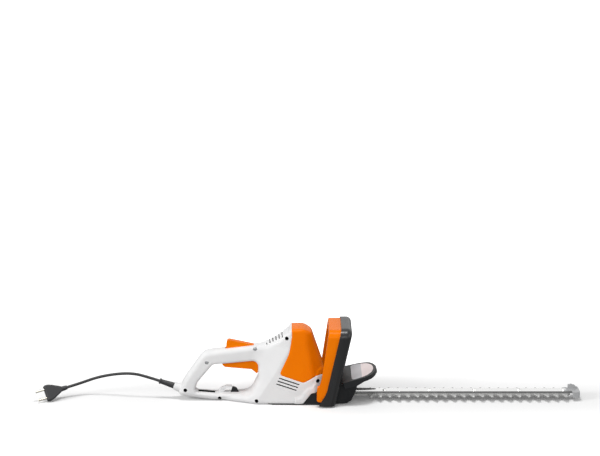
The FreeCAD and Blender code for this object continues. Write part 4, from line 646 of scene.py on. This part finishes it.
def half_width(points, edge, loop, dark, cover):
    """Half width of the casing over its side view, from the distances to its outlines."""
    x, z = points[:, 0], points[:, 1]
    grip = GRIP_HALF - np.maximum(edge_drop(edge, GRIP_ROUND), edge_drop(loop, LOOP_ROUND))
    crown = smoothstep((x - CROWN_FROM) / CROWN_RUN) * smoothstep(z / CROWN_RISE)
    foot = 1 - smoothstep((z - FOOT_FROM) / FOOT_RISE)
    round_edge = BODY_ROUND - CROWN_SHARPER * crown - FOOT_SHARPER * foot
    fall = np.maximum(edge_drop(edge, round_edge), edge_drop(loop, BODY_LOOP_ROUND))
    bulk = bulk_half(x, z) - fall
    mix = np.clip(0.5 + 0.5 * (bulk - grip) / GRIP_BLEND, 0, 1)
    half = grip * (1 - mix) + bulk * mix + GRIP_BLEND * mix * (1 - mix) * 0.5
    half += RIM_SWELL * smoothstep((RIM_WIDTH - dark) / RIM_FALL) * (x > RIM_FROM)
    half -= (COVER_GROOVE * np.clip(1 - cover / GROOVE_WIDTH, 0, 1)
             + DARK_GROOVE * np.clip(1 - dark / GROOVE_WIDTH, 0, 1))
    return half


# Distances of the rows of points from their lines, and what is kept clear between points.
OUTER_ROWS = (0.5, 1.3, 2.4, 4, 6, 8.5, 11)
LOOP_ROWS = (0.5, 1.3, 2.6, 4, 5.5, 8)
SEAM_ROWS = (0.45, 0.9, -0.45, -0.9)
CREASE_ROWS = (0.7, 1.5, -0.7, -1.5)
FIELD_STEP, FIELD_X, FIELD_Z = 3.2, (-305, 15), (0, 168)
FIELD_TO_LINE, FIELD_TO_RIM = 2.2, 12
ROW_TO_LINE, ROW_KEPT, CROWDED = 0.35, 0.93, 0.42


def nearest(points, lines):
    return np.min([distance_to(points, line) for line in lines], axis=0)


def side_points(seams, holes, crease):
    """Points over the side view: rows beside the outlines and an even field between them."""
    rows = [(OUTER, offset * way) for offset in OUTER_ROWS for way in (1, -1)]
    rows += [(LOOP, offset * way) for offset in LOOP_ROWS for way in (1, -1)]
    rows += [(seam, offset) for seam in seams for offset in SEAM_ROWS]
    rows += [(crease, offset) for offset in CREASE_ROWS]
    beside = []
    for line, offset in rows:
        run = np.roll(line, -1, axis=0) - np.roll(line, 1, axis=0)
        normal = np.stack([-run[:, 1], run[:, 0]], 1) / np.linalg.norm(run, axis=1)[:, None]
        moved = line + normal * offset
        beside.append(moved[distance_to(moved, line) > abs(offset) * ROW_KEPT])
    beside = np.concatenate(beside)
    for line in holes + seams:
        beside = beside[distance_to(beside, line) > ROW_TO_LINE]
    across, up = np.meshgrid(np.arange(*FIELD_X, FIELD_STEP), np.arange(*FIELD_Z, FIELD_STEP))
    odd_row = np.arange(across.size) // across.shape[1] % 2
    grid = np.stack([across.ravel() + odd_row * FIELD_STEP / 2, up.ravel()], 1)
    grid = grid[nearest(grid, [crease] + seams + holes) > FIELD_TO_LINE]
    grid = grid[nearest(grid, [OUTER, LOOP]) > FIELD_TO_RIM]
    field = np.concatenate([beside, grid])
    return thinned(field[inside(field, OUTER) & ~inside(field, LOOP)], CROWDED)


def thinned(points, gap):
    """Leaves out points that crowd one that is already kept."""
    kept, cells = [], {}
    for point in points:
        key = (int(point[0] // gap), int(point[1] // gap))
        near = [cells[k] for k in ((key[0] + i, key[1] + j) for i in (-1, 0, 1) for j in (-1, 0, 1))
                if k in cells]
        if all(abs(point[0] - q[0]) + abs(point[1] - q[1]) > gap for q in near):
            cells[key] = point
            kept.append(point)
    return np.array(kept)


def casing():
    """Builds both white halves and the motor cover from one field of half widths."""
    cover = as_array(rounded_loop(COVER_EDGE, SEAM_STEP))
    dark = as_array(rounded_loop(DARK_EDGE, SEAM_STEP))
    vents = [as_array(rounded_loop(vent, VENT_STEP)) for vent in CREST_VENTS + SIDE_VENTS]
    heights = np.arange(*CREASE_ENDS, CREASE_STEP)
    crease = np.stack([crease_at(heights), heights], 1)
    field = side_points([cover, dark], vents + WELLS, crease)
    corners = [tuple(p) for p in field] + [tuple(p) for p in crease]
    edges = [(len(field) + i, len(field) + i + 1) for i in range(len(crease) - 1)]
    for line in [OUTER, LOOP, cover, dark] + vents + WELLS:
        first = len(corners)
        corners += [tuple(p) for p in line]
        edges += [(first + i, first + (i + 1) % len(line)) for i in range(len(line))]
    flat, _, triangles, *_ = delaunay_2d_cdt([Vector(c) for c in corners], edges, [], 0, 1e-4)
    flat = np.array([tuple(v) for v in flat])
    triangles = np.array(triangles)
    middle = flat[triangles].mean(axis=1)
    in_vent, in_well = (np.any([inside(middle, hole) for hole in holes], axis=0)
                        for holes in (vents, WELLS))
    in_cover = inside(middle, cover)
    in_dark = inside(middle, dark) & ~in_cover
    solid_side = inside(middle, OUTER) & ~inside(middle, LOOP) & ~in_vent
    far = {line: distance_to(flat, points) for line, points in
           (("outer", OUTER), ("loop", LOOP), ("cover", cover), ("dark", dark))}
    half = half_width(flat, far["outer"], far["loop"], far["dark"], far["cover"])
    view = {"flat": flat, "half": half, "far": far}
    white = solid_side & ~in_cover & ~in_dark
    shell_piece("right_casing", view, triangles[white & ~in_well], -1, "right_housing_shell", WELLS)
    shell_piece("left_casing", view, triangles[white], 1, "left_housing_shell", [])
    cover_piece(view, triangles[solid_side & in_cover])


ON_LINE = 0.02


def rim_edges(triangles, view):
    """Edges of a region that lie on the silhouette or round the finger loop."""
    seen = {}
    for a, b, c in triangles:
        for edge in ((a, b), (b, c), (c, a)):
            key = tuple(sorted(edge))
            seen[key] = seen.get(key, 0) + 1
    alone = [edge for edge, count in seen.items() if count == 1]
    for name in ("outer", "loop"):
        far = view["far"][name]
        yield name, [(a, b) for a, b in alone if far[a] < ON_LINE and far[b] < ON_LINE]


def outward(view, rim):
    """Unit directions out of the material at the points of a rim."""
    flat = view["flat"]
    normal = {}
    for a, b in rim:
        run = flat[b] - flat[a]
        turn = np.array([run[1], -run[0]]) / max(np.linalg.norm(run), 1e-9)
        probe = (flat[a] + flat[b]) / 2 + turn * 0.2
        in_material = inside(probe[None], OUTER)[0] and not inside(probe[None], LOOP)[0]
        turn = -turn if in_material else turn
        for v in (a, b):
            normal[v] = normal.get(v, 0) + turn
    return {v: n / max(np.linalg.norm(n), 1e-9) for v, n in normal.items()}


LOOP_BANDS = (TRIGGER_SLOT, POCKET_SLOT, 3.0, 0.6, 0.0)
OUTER_BANDS = (1, 0.8, 0.6, 0.4, 0.2, 0.07, 0)
BAND_SWELL, PARTING_GROOVE = 0.8, 0.45


def band_rows(half, kind):
    """Distances from the middle plane at which a rim is divided, from its edge inwards."""
    if kind == "loop":
        return [half, (half + TRIGGER_SLOT) / 2, *LOOP_BANDS]
    return [half * share for share in OUTER_BANDS]


def left_open(kind, x, z, y):
    """True where a rim is open at a distance y from the middle plane."""
    return any(kind == rim and y < half - 0.1 and x_from < x < x_to and z_from < z < z_to
               for rim, half, x_from, x_to, z_from, z_to in OPEN_RIMS)


def side_and_rim(view, triangles, side, parted):
    """Side face plus its rim up to the middle plane, as vertices and faces."""
    flat, half = view["flat"], view["half"]
    vertices, faces, index = [], [], {}

    def vertex(v, row, kind=None, normal=None):
        """Row 0 is the edge that the side face and its rim share."""
        key = (v, row, kind if row else None)
        if key not in index:
            y = half[v]
            x, z = flat[v]
            if row:
                y = band_rows(half[v], kind)[row]
                share = y / max(half[v], 1e-6)
                swell = BAND_SWELL * (1 - share * share)
                if parted and y == 0:
                    swell -= PARTING_GROOVE
                x, z = x + normal[0] * swell, max(z + normal[1] * swell, 0.0)
            index[key] = len(vertices)
            vertices.append((x, side * y, z))
        return index[key]

    for corners in triangles:
        faces.append([vertex(v, 0) for v in corners])
    for kind, rim in rim_edges(triangles, view):
        normals = outward(view, rim)
        for a, b in rim:
            middle = (flat[a] + flat[b]) / 2
            rows = band_rows((half[a] + half[b]) / 2, kind)
            for row in range(len(rows) - 1):
                if left_open(kind, middle[0], middle[1], rows[row + 1]):
                    continue
                faces.append([vertex(v, at, kind, normals[v]) for v, at in
                              ((a, row), (b, row), (b, row + 1), (a, row + 1))])
    return vertices, faces


def plain_mesh(item):
    """The mesh that an object's modifiers make; the object is taken away."""
    mesh = bpy.data.meshes.new_from_object(item.evaluated_get(bpy.context.evaluated_depsgraph_get()))
    bpy.data.objects.remove(item)
    return mesh


def thicken(name, vertices, faces, outside):
    """A wall inside the given surface; outside is the side that its flank faces, -1 or 1."""
    mesh = mesh_of(name, vertices, faces)
    work = opened(mesh)
    bmesh.ops.remove_doubles(work, verts=work.verts, dist=DOUBLES)
    turn_outwards(work)
    flank = max(work.faces, key=lambda face: face.calc_area() * (abs(face.normal.y) > 0.5))
    if flank.normal.y * outside < 0:
        bmesh.ops.reverse_faces(work, faces=work.faces)
    item = bpy.data.objects.new(name, closed(work, mesh))
    scene.collection.objects.link(item)
    skin = item.modifiers.new("wall", "SOLIDIFY")
    skin.thickness = WALL * MM
    skin.offset = -1.0
    skin.use_even_offset = False
    return plain_mesh(item)


def shell_piece(name, view, triangles, side, node, wells):
    """One white half, with walls to its screw wells; the deep ones get dark sleeves of painted
    shade.
    """
    vertices, faces = side_and_rim(view, triangles, side, True)
    index = {(round(x, 3), round(z, 3)): i for i, (x, _, z) in reversed(list(enumerate(vertices)))}
    deep = []
    for well, depth in zip(wells, WELL_FLOORS):
        ring = [index[(round(x, 3), round(z, 3))] for x, z in well]
        if depth < GRIP_FLOOR:
            deep.append(([vertices[i] for i in ring], depth))
        count, floor = len(ring), len(vertices)
        vertices += [(vertices[i][0], side * depth, vertices[i][2]) for i in ring]
        faces += [[ring[k], ring[(k + 1) % count], floor + (k + 1) % count, floor + k]
                  for k in range(count)]
    if deep:
        well_sleeves(deep)
    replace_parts(piece(name, thicken(name, vertices, faces, side), WHITE, node), node)


# Painted shade: dark sleeves that make the deep screw wells read as shaded holes.
WELL_SHADE_OUT, WELL_SHADE_IN, WELL_SHADE_SUNK = 0.98, 0.86, 0.3


def well_sleeves(rims):
    """Painted shade: dark sleeves that line the deep screw wells of the right half, from mouth to
    floor.
    """
    vertices, faces = [], []
    for rim, floor in rims:
        count = len(rim)
        middle = sum((Vector(v) for v in rim), Vector()) / count
        for share, at_mouth in ((WELL_SHADE_OUT, True), (WELL_SHADE_OUT, False), (WELL_SHADE_IN, False),
                                (WELL_SHADE_IN, True)):
            for x, y, z in rim:
                depth = y + WELL_SHADE_SUNK if at_mouth else -floor - WELL_SHADE_SUNK
                vertices.append((middle.x + (x - middle.x) * share, depth,
                                 middle.z + (z - middle.z) * share))
        first = len(vertices) - 4 * count
        for ring in range(4):
            shift = count if ring < 3 else -3 * count
            for k in range(count):
                a, b = (first + ring * count + j for j in (k, (k + 1) % count))
                faces.append((a, b, b + shift, a + shift))
    piece("well_sleeves", solid("well_sleeves", vertices, faces), BLACK, "housing_screws")


def cover_piece(view, triangles):
    near, near_faces = side_and_rim(view, triangles, -1, False)
    other, far_faces = side_and_rim(view, triangles, 1, False)
    far_faces = [[i + len(near) for i in face] for face in far_faces]
    mesh = thicken("motor_cover", near + other, near_faces + far_faces, -1)
    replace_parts(piece("motor_cover", mesh, ORANGE, "motor_hood"), "motor_hood")


SCREEN_EDGE = [(-94.5, 46), (-36, 27), (-32, 45), (-90, 62)]
SCREEN_FIELD = [(-92, 47.6), (-38.2, 30.3), (-34.8, 43.6), (-88.6, 59.9)]
SCREEN_OUT, SCREEN_IN, SCREEN_SUNK = 34.0, 32.6, 33.3


def outlet_screen(name, node, side):
    """Dark screen with a rim, inside one half of the casing behind its outlet slots."""
    loops = [(SCREEN_EDGE, SCREEN_OUT), (SCREEN_EDGE, SCREEN_IN), (SCREEN_FIELD, SCREEN_IN),
             (SCREEN_FIELD, SCREEN_SUNK)]
    shape = stacked([[(x, side * y, z) for x, z in loop] for loop, y in loops])
    piece(name, solid(name, *shape), BLACK, node)


casing()
outlet_screen("right_outlet_screen", "right_housing_shell", -1)
outlet_screen("left_outlet_screen", "left_housing_shell", 1)

# ---------------------------------------------------------------- repeated parts


def node_tree(name, inputs):
    """An empty Geometry Nodes tree with its named inputs and one geometry output."""
    tree = bpy.data.node_groups.new(name, "GeometryNodeTree")
    for label, kind in inputs:
        tree.interface.new_socket(label, in_out="INPUT", socket_type=kind)
    tree.interface.new_socket("Geometry", in_out="OUTPUT", socket_type="NodeSocketGeometry")
    return tree, tree.nodes.new("NodeGroupInput"), tree.nodes.new("NodeGroupOutput")


def finished(tree, geometry, finish, out):
    """Ends a tree: instances made real, material set."""
    real = add(tree, "GeometryNodeRealizeInstances", Geometry=geometry)
    paint = add(tree, "GeometryNodeSetMaterial", Geometry=real.outputs[0], Material=finish)
    join(tree, (paint.outputs[0], out.inputs["Geometry"]))


def tooth_row_tree():
    """Teeth along both sides of a blade, joined to its spine."""
    tree, given, out = node_tree("tooth_row", [
        ("Geometry", "NodeSocketGeometry"), ("Right Tooth", "NodeSocketObject"),
        ("Left Tooth", "NodeSocketObject"), ("Count", "NodeSocketInt"),
        ("Pitch", "NodeSocketFloat"), ("First", "NodeSocketFloat"),
        ("Finish", "NodeSocketMaterial")])
    start = add(tree, "ShaderNodeCombineXYZ", X=given.outputs["First"])
    pace = add(tree, "ShaderNodeCombineXYZ", X=given.outputs["Pitch"])
    line = add(tree, "GeometryNodeMeshLine", mode="OFFSET", Count=given.outputs["Count"],
               Start_Location=start.outputs[0], Offset=pace.outputs[0])
    both = add(tree, "GeometryNodeJoinGeometry", Geometry=given.outputs["Geometry"])
    for label in ("Right Tooth", "Left Tooth"):
        one = add(tree, "GeometryNodeObjectInfo", Object=given.outputs[label])
        row = add(tree, "GeometryNodeInstanceOnPoints", Points=line.outputs[0],
                  Instance=one.outputs["Geometry"])
        join(tree, (row.outputs[0], both.inputs[0]))
    finished(tree, both.outputs[0], given.outputs["Finish"], out)
    return tree


def set_out_tree():
    """One part set out on the points of a mesh, such as screw heads on their places."""
    tree, given, out = node_tree("set_out_on_points", [
        ("Geometry", "NodeSocketGeometry"), ("Part", "NodeSocketObject"),
        ("Turn", "NodeSocketVector"), ("Finish", "NodeSocketMaterial")])
    part = add(tree, "GeometryNodeObjectInfo", Object=given.outputs["Part"])
    turn = add(tree, "FunctionNodeEulerToRotation", Euler=given.outputs["Turn"])
    place = add(tree, "GeometryNodeInstanceOnPoints", Points=given.outputs["Geometry"],
                Instance=part.outputs["Geometry"], Rotation=turn.outputs[0])
    finished(tree, place.outputs[0], given.outputs["Finish"], out)
    return tree


def grown(name, base, tree, **values):
    """Plain mesh that a tree makes of a base mesh and its inputs."""
    item = bpy.data.objects.new(name + "_base", base)
    scene.collection.objects.link(item)
    modifier = item.modifiers.new("make", "NODES")
    modifier.node_group = tree
    sockets = {s.name: s.identifier for s in tree.interface.items_tree if s.in_out == "INPUT"}
    for label, value in values.items():
        modifier[sockets[label.replace("_", " ")]] = value
    mesh = plain_mesh(item)
    mesh.name = name
    return mesh


def template(name, vertices, faces):
    """A small solid in millimetres that a tree sets out; it's taken away after use."""
    item = bpy.data.objects.new(name, solid(name, vertices, faces))
    scene.collection.objects.link(item)
    return item


SPINE_HALF = 14.9
TOOTH_FOOT, TOOTH_END, TOOTH_REACH, TOOTH_LEAN = 7.0, 2.5, 29.8, 1.5
TIP_DROP, TIP_OUT, TIP_IN = 1.4, 0.3, 0.6
FOOT_GROUND, END_GROUND = 1.2, 0.7  # shares of the grinding's width
TOOTH_PITCH, TOOTH_COUNT, FIRST_TOOTH = 20.0, 22, 113.0
GROUND = 1.5


def tooth(side, low, high, ground_up):
    """One tooth of a blade; its cutting edges are ground on the face away from its partner."""
    def outline(back):
        foot, end = TOOTH_FOOT - FOOT_GROUND * back, TOOTH_END - back * END_GROUND
        tip, shoulder = TOOTH_REACH - back, TOOTH_REACH - back - TIP_DROP
        corners = [(-foot, SPINE_HALF), (foot, SPINE_HALF),
                   (TOOTH_LEAN + end + TIP_OUT, shoulder), (TOOTH_LEAN + end - TIP_IN, tip),
                   (TOOTH_LEAN + TIP_IN - end, tip), (TOOTH_LEAN - end - TIP_OUT, shoulder)]
        return [(x, side * y) for x, y in corners]
    sharp, ground = outline(0), outline(GROUND)
    steps = [(sharp, low), (sharp, high - GROUND), (ground, high)]
    if not ground_up:
        steps = [(ground, low), (sharp, low + GROUND), (sharp, high)]
    return template("tooth", *stacked([[(x, y, z) for x, y in loop] for loop, z in steps]))


def blade_piece(name, node, tree, ground_up):
    """A blade: the spine of its solid, its teeth parted off and set on again with ground edges."""
    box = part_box(node)
    low, high = box[0][2] / MM, box[1][2] / MM
    mesh, work = merged_copy(node)
    for side in (-1, 1):
        cut = bmesh.ops.bisect_plane(work, geom=work.verts[:] + work.edges[:] + work.faces[:],
                                     plane_co=(0, side * SPINE_HALF * MM, 0), plane_no=(0, side, 0),
                                     clear_outer=True)
        rim = [item for item in cut["geom_cut"] if isinstance(item, bmesh.types.BMEdge)]
        bmesh.ops.holes_fill(work, edges=rim, sides=0)
    turn_outwards(work)
    right, left = (tooth(side, low, high, ground_up) for side in (-1, 1))
    made = grown(name, closed(work, mesh), tree, Right_Tooth=right, Left_Tooth=left,
                 Count=TOOTH_COUNT, Pitch=TOOTH_PITCH * MM, First=FIRST_TOOTH * MM,
                 Finish=BLADE_STEEL)
    bpy.data.objects.remove(right)
    bpy.data.objects.remove(left)
    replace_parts(piece(name, made, BLADE_STEEL, node, smooth_angle=20.0), node)


def blades():
    tree = tooth_row_tree()
    blade_piece("upper_cutting_blade", "upper_blade", tree, True)
    blade_piece("lower_cutting_blade", "lower_blade", tree, False)


HEAD_RADIUS, HEAD_HEIGHT, HEAD_SIDES = 3.5, 2.2, 24
# Shares of the head's radius and height: its dome, the two radii of its cross, and their depths.
DOME = ((1.0, 0.0), (1.0, 0.5), (0.9, 0.85), (0.68, 1.0))
CROSS_ARM, CROSS_CORE, CROSS_TOP = 0.6, 0.2, 0.98
CROSS_FOOT, CROSS_FLOOR = 0.8, 0.3
ARM_HALF_ANGLE = 12


def screw_head():
    """Domed head with a cross recess, standing along z."""
    angles = [2 * math.pi * k / HEAD_SIDES for k in range(HEAD_SIDES)]
    loops = [[(HEAD_RADIUS * r * math.cos(a), HEAD_RADIUS * r * math.sin(a), HEAD_HEIGHT * z)
              for a in angles] for r, z in DOME]
    cross = []
    for a in angles:
        on_arm = abs((math.degrees(a) + 45) % 90 - 45) < ARM_HALF_ANGLE
        r = HEAD_RADIUS * (CROSS_ARM if on_arm else CROSS_CORE)
        cross.append((r * math.cos(a), r * math.sin(a), HEAD_HEIGHT * CROSS_TOP))
    deep = [(x * CROSS_FOOT, y * CROSS_FOOT, HEAD_HEIGHT * CROSS_FLOOR) for x, y, _ in cross]
    return template("screw_head", *stacked(loops + [cross, deep]))


def grip_screws(tree):
    """The two screw heads that sit near the surface of the grip."""
    head = screw_head()
    places = [(x, -depth, z) for (x, z), depth in zip(SCREW_PLACES, WELL_FLOORS)
              if depth > GRIP_FLOOR]
    mesh = grown("grip_screw_heads", mesh_of("places", places, []), tree, Part=head,
                 Turn=(math.radians(90), 0, 0.0), Finish=ZINC)
    bpy.data.objects.remove(head)
    piece("grip_screw_heads", mesh, ZINC, "housing_screws")


blades()
grip_screws(set_out_tree())

# ---------------------------------------------------------------- hook and pocket of the tray


SLAB_STEP = 1.2


def slab(name, corners, half, width, material, node):
    """A side outline given a thickness, its edges rounded."""
    loop = rounded_loop(corners, SLAB_STEP)
    mesh = mesh_of(name, *stacked([[(x, y, z) for x, z in loop] for y in (-half, half)]))
    work = opened(mesh)
    turn_outwards(work)
    rims = [edge for edge in work.edges if edge.calc_face_angle(0) > SQUARE
            and abs(edge.verts[0].co.y - edge.verts[1].co.y) < DOUBLES]
    round_edges(work, rims, width, 3)
    return piece(name, tidy(work, mesh), material, node)


HOOK_ARCH = [
    (-223, 11, 0), (-219, 14.5, 5), (-209, 26, 16), (-199, 30.4, 12), (-186.3, 30.6, 2.4),
    (-186.3, 27.4, 1.2), (-197.5, 27.4, 4), (-202.6, 22, 5), (-202.6, 11, 0),
]
HOOK_FIN = [
    (-190.2, 14.6, 0.4), (-187.3, 21, 3), (-185.4, 28.2, 0.9), (-177, 25.4, 7), (-170.6, 14.6, 0.8),
]


def hook():
    """White arch over the tray that holds the extension lead, and its dark fin."""
    slab("cable_hook", HOOK_ARCH, 4.6, 1.3, WHITE, "right_housing_shell")
    fin = slab("hook_fin", HOOK_FIN, 3.2, 0.9, BLACK, "cord_hook_lip")
    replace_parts(fin, "cord_hook_lip")


POCKET_SIDE = [(-259.9, 18.1), (-259.9, 7.0), (-222.6, 7.0), (-222.6, 15.2)]
POCKET_HALF, POCKET_WALL = 6.45, 0.6


def pocket_lining():
    """Dark lining of the slot that the machine hangs by, open on top."""
    vertices = [(x, y, z) for y in (-POCKET_HALF, POCKET_HALF) for x, z in POCKET_SIDE]
    faces = [(k, k + 1, k + 5, k + 4) for k in range(3)] + [(0, 1, 2, 3), (4, 5, 6, 7)]
    mesh = mesh_of("pocket_lining", vertices, faces)
    work = opened(mesh)
    turn_outwards(work)
    bmesh.ops.solidify(work, geom=work.faces[:], thickness=POCKET_WALL * MM)
    piece("pocket_lining", tidy(work, mesh), BLACK, "cord_hook_lip")


hook()
pocket_lining()

# ---------------------------------------------------------------- softened mouldings

softened("gear_casing", "gear_case", 1.0)
softened("hand_shield", "hand_guard", 1.4)
softened("front_handle_body", "front_handle", 1.6, DARK)
softened("bow_body", "switch_bow", 2.2, segments=4)
softened("trigger_body", "rear_trigger", 1.6)
softened("lockout_body", "lockout_lever", 2.0)
softened("tip_guard_body", "tip_guard", 0.6)
softened("rolled_bar", "guide_bar", 0.5, segments=2)
softened("plug_moulding", "plug_body", 0.8)

FELT_PLAN = [
    (82.9, -1.9, 0.6), (112, 0.8, 20), (125.5, 4.5, 1.2), (125.5, 7, 1.2), (108, 9.6, 20),
    (82.9, 9.9, 0.6),
]
FELT_ROUND = 0.35


def felt_pad():
    """Oiling felt on the bar, narrowing towards the blades."""
    low, high = (corner[2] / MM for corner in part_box("oil_felt"))
    plan = rounded_loop(FELT_PLAN, SLAB_STEP)
    mesh = mesh_of("felt_pad", *stacked([[(x, y, z) for x, y in plan] for z in (low, high)]))
    work = opened(mesh)
    turn_outwards(work)
    rim = [edge for edge in work.edges if min(v.co.z for v in edge.verts) > (high - 0.01) * MM]
    round_edges(work, rim, FELT_ROUND, 2, clamped=False)
    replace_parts(piece("felt_pad", tidy(work, mesh), FELT, "oil_felt"), "oil_felt")


felt_pad()

# ---------------------------------------------------------------- lead

CORD_ROUTE = [
    (-343.5, 0, 40.4), (-366.2, 0, 48.3), (-399, 4, 56), (-438, 13, 52), (-480, 20, 42),
    (-518.1, 16.1, 29.0), (-544.6, 2.8, 24.5),
]
CORD_DIAMETER = 6.2
SLEEVE_LENGTH = 53
SLOPE = math.radians(19.2)
REARWARDS = Vector((-math.cos(SLOPE), 0, math.sin(SLOPE)))
SLEEVE_ROOT = Vector(CORD_ROUTE[0]) - REARWARDS * SLEEVE_LENGTH
STUB_PROFILE = [
    (4, 0), (4, 9.9), (9, 9.6), (13, 9.0), (17.5, 8.3), (19.3, 8.0), (19.9, 7.5), (20, 6.7),
    (15, 6.6), (15, 0),
]
SLEEVE_PROFILE = [
    (12, 0), (12, 6.5), (22, 6.5), (26, 6.4), (34, 5.9), (42, 5.35), (48.4, 5.0), (48.9, 5.2),
    (49.3, 5.8), (50, 6.15), (51, 6.25), (52, 6.15), (52.7, 5.8), (SLEEVE_LENGTH, 5.2),
    (SLEEVE_LENGTH, 3.4), (51, 3.2), (51, 0),
]


def stub_and_sleeve():
    """White stub at the rear of the casing, and the strain relief that tapers out of it."""
    turned("lead_stub", STUB_PROFILE, SLEEVE_ROOT, REARWARDS, WHITE, "right_housing_shell")
    sleeve = turned("lead_sleeve", SLEEVE_PROFILE, SLEEVE_ROOT, REARWARDS, RUBBER, "strain_relief")
    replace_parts(sleeve, "strain_relief")


def lead():
    """The mains lead on one smooth line from the sleeve to the plug."""
    data = bpy.data.curves.new("mains_lead", "CURVE")
    data.dimensions = "3D"
    line = data.splines.new("NURBS")
    line.points.add(len(CORD_ROUTE) - 1)
    for point, (x, y, z) in zip(line.points, CORD_ROUTE):
        point.co = (x * MM, y * MM, z * MM, 1.0)
    line.order_u = 3
    line.use_endpoint_u = True
    line.resolution_u = 24
    data.bevel_depth = CORD_DIAMETER / 2 * MM
    data.bevel_resolution = 8
    data.use_fill_caps = True
    item = bpy.data.objects.new("mains_lead", data)
    scene.collection.objects.link(item)
    give(item, RUBBER)
    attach(item, "housing")
    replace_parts(item, "power_cord")
    [c * MM for c in CORD_ROUTE[0]]


stub_and_sleeve()
lead()

# ---------------------------------------------------------------- studio


def studio_floor():
    """Pale floor that keeps the object's shadow and is white away from it."""
    mesh = bpy.data.meshes.new("studio_floor")
    mesh.from_pydata([(-15, -7, 0), (15, -7, 0), (15, 23, 0), (-15, 23, 0)], [], [(0, 1, 2, 3)])
    floor = bpy.data.objects.new("studio_floor", mesh)
    scene.collection.objects.link(floor)
    material, tree, shader = blank_material(
        "studio_white", Roughness=0.9, Base_Color=(0.93, 0.93, 0.93, 1), Specular_IOR_Level=0.0)
    centred = add(tree, "ShaderNodeVectorMath", operation="MULTIPLY")
    centred.inputs[1].default_value = (0.15, 1.0, 0.0)
    reach = add(tree, "ShaderNodeVectorMath", operation="LENGTH")
    join(tree, (add(tree, "ShaderNodeTexCoord").outputs["Object"], centred.inputs[0]),
         (centred.outputs[0], reach.inputs[0]))
    level = ranged(tree, reach.outputs["Value"], interpolation_type="SMOOTHSTEP",
                   From_Min=0.05, From_Max=0.4, To_Min=0.06)
    glow = add(tree, "ShaderNodeEmission", Strength=level)
    total = add(tree, "ShaderNodeAddShader")
    bounce = add(tree, "ShaderNodeBsdfDiffuse", Color=rgba(196, 196, 196))
    rays = add(tree, "ShaderNodeLightPath")
    choose = add(tree, "ShaderNodeMixShader")
    join(tree, (shader.outputs[0], total.inputs[0]), (glow.outputs[0], total.inputs[1]),
         (rays.outputs["Is Camera Ray"], choose.inputs[0]), (bounce.outputs[0], choose.inputs[1]),
         (total.outputs[0], choose.inputs[2]),
         (choose.outputs[0], tree.nodes["Material Output"].inputs["Surface"]))
    give(floor, material)


def studio_world():
    """White where it's seen or mirrored, dimmer as a light on the object."""
    world = bpy.data.worlds.new("studio_world")
    scene.world = world
    world.use_nodes = True
    tree = world.node_tree
    back = tree.nodes["Background"]
    back.inputs["Color"].default_value = (1, 1, 1, 1)
    rays = add(tree, "ShaderNodeLightPath")
    seen = add(tree, "ShaderNodeMath", operation="MAXIMUM")
    join(tree, (rays.outputs["Is Camera Ray"], seen.inputs[0]),
         (rays.outputs["Is Glossy Ray"], seen.inputs[1]),
         (ranged(tree, seen.outputs[0], To_Min=0.3, To_Max=1.0), back.inputs["Strength"]))


LAMPS = (
    # name, place, aim, width and height, watts
    ("overhead", (0.0, -0.45, 2.35), (0, 0, 0), (0.7, 0.5), 24.0),
    ("front_strip", (-0.3, -2.7, 1.35), (0, 0, 0.08), (2.6, 0.45), 13.0),
    ("left_fill", (-2.4, -1.4, 1.2), (-0.1, 0, 0.08), (1.0, 1.0), 40.0),
    ("right_fill", (2.3, -1.1, 1.2), (0, 0, 0.1), (1.0, 1.0), 8.0),
)


def lamps():
    for name, place, aim, size, power in LAMPS:
        data = bpy.data.lights.new(name, "AREA")
        data.shape = "RECTANGLE"
        data.size, data.size_y = size
        data.energy = power
        lamp = bpy.data.objects.new(name, data)
        scene.collection.objects.link(lamp)
        lamp.location = place
        lamp.rotation_euler = (Vector(aim) - Vector(place)).to_track_quat("-Z", "Y").to_euler()


studio_floor()
studio_world()
lamps()
scene.view_settings.view_transform = "Standard"
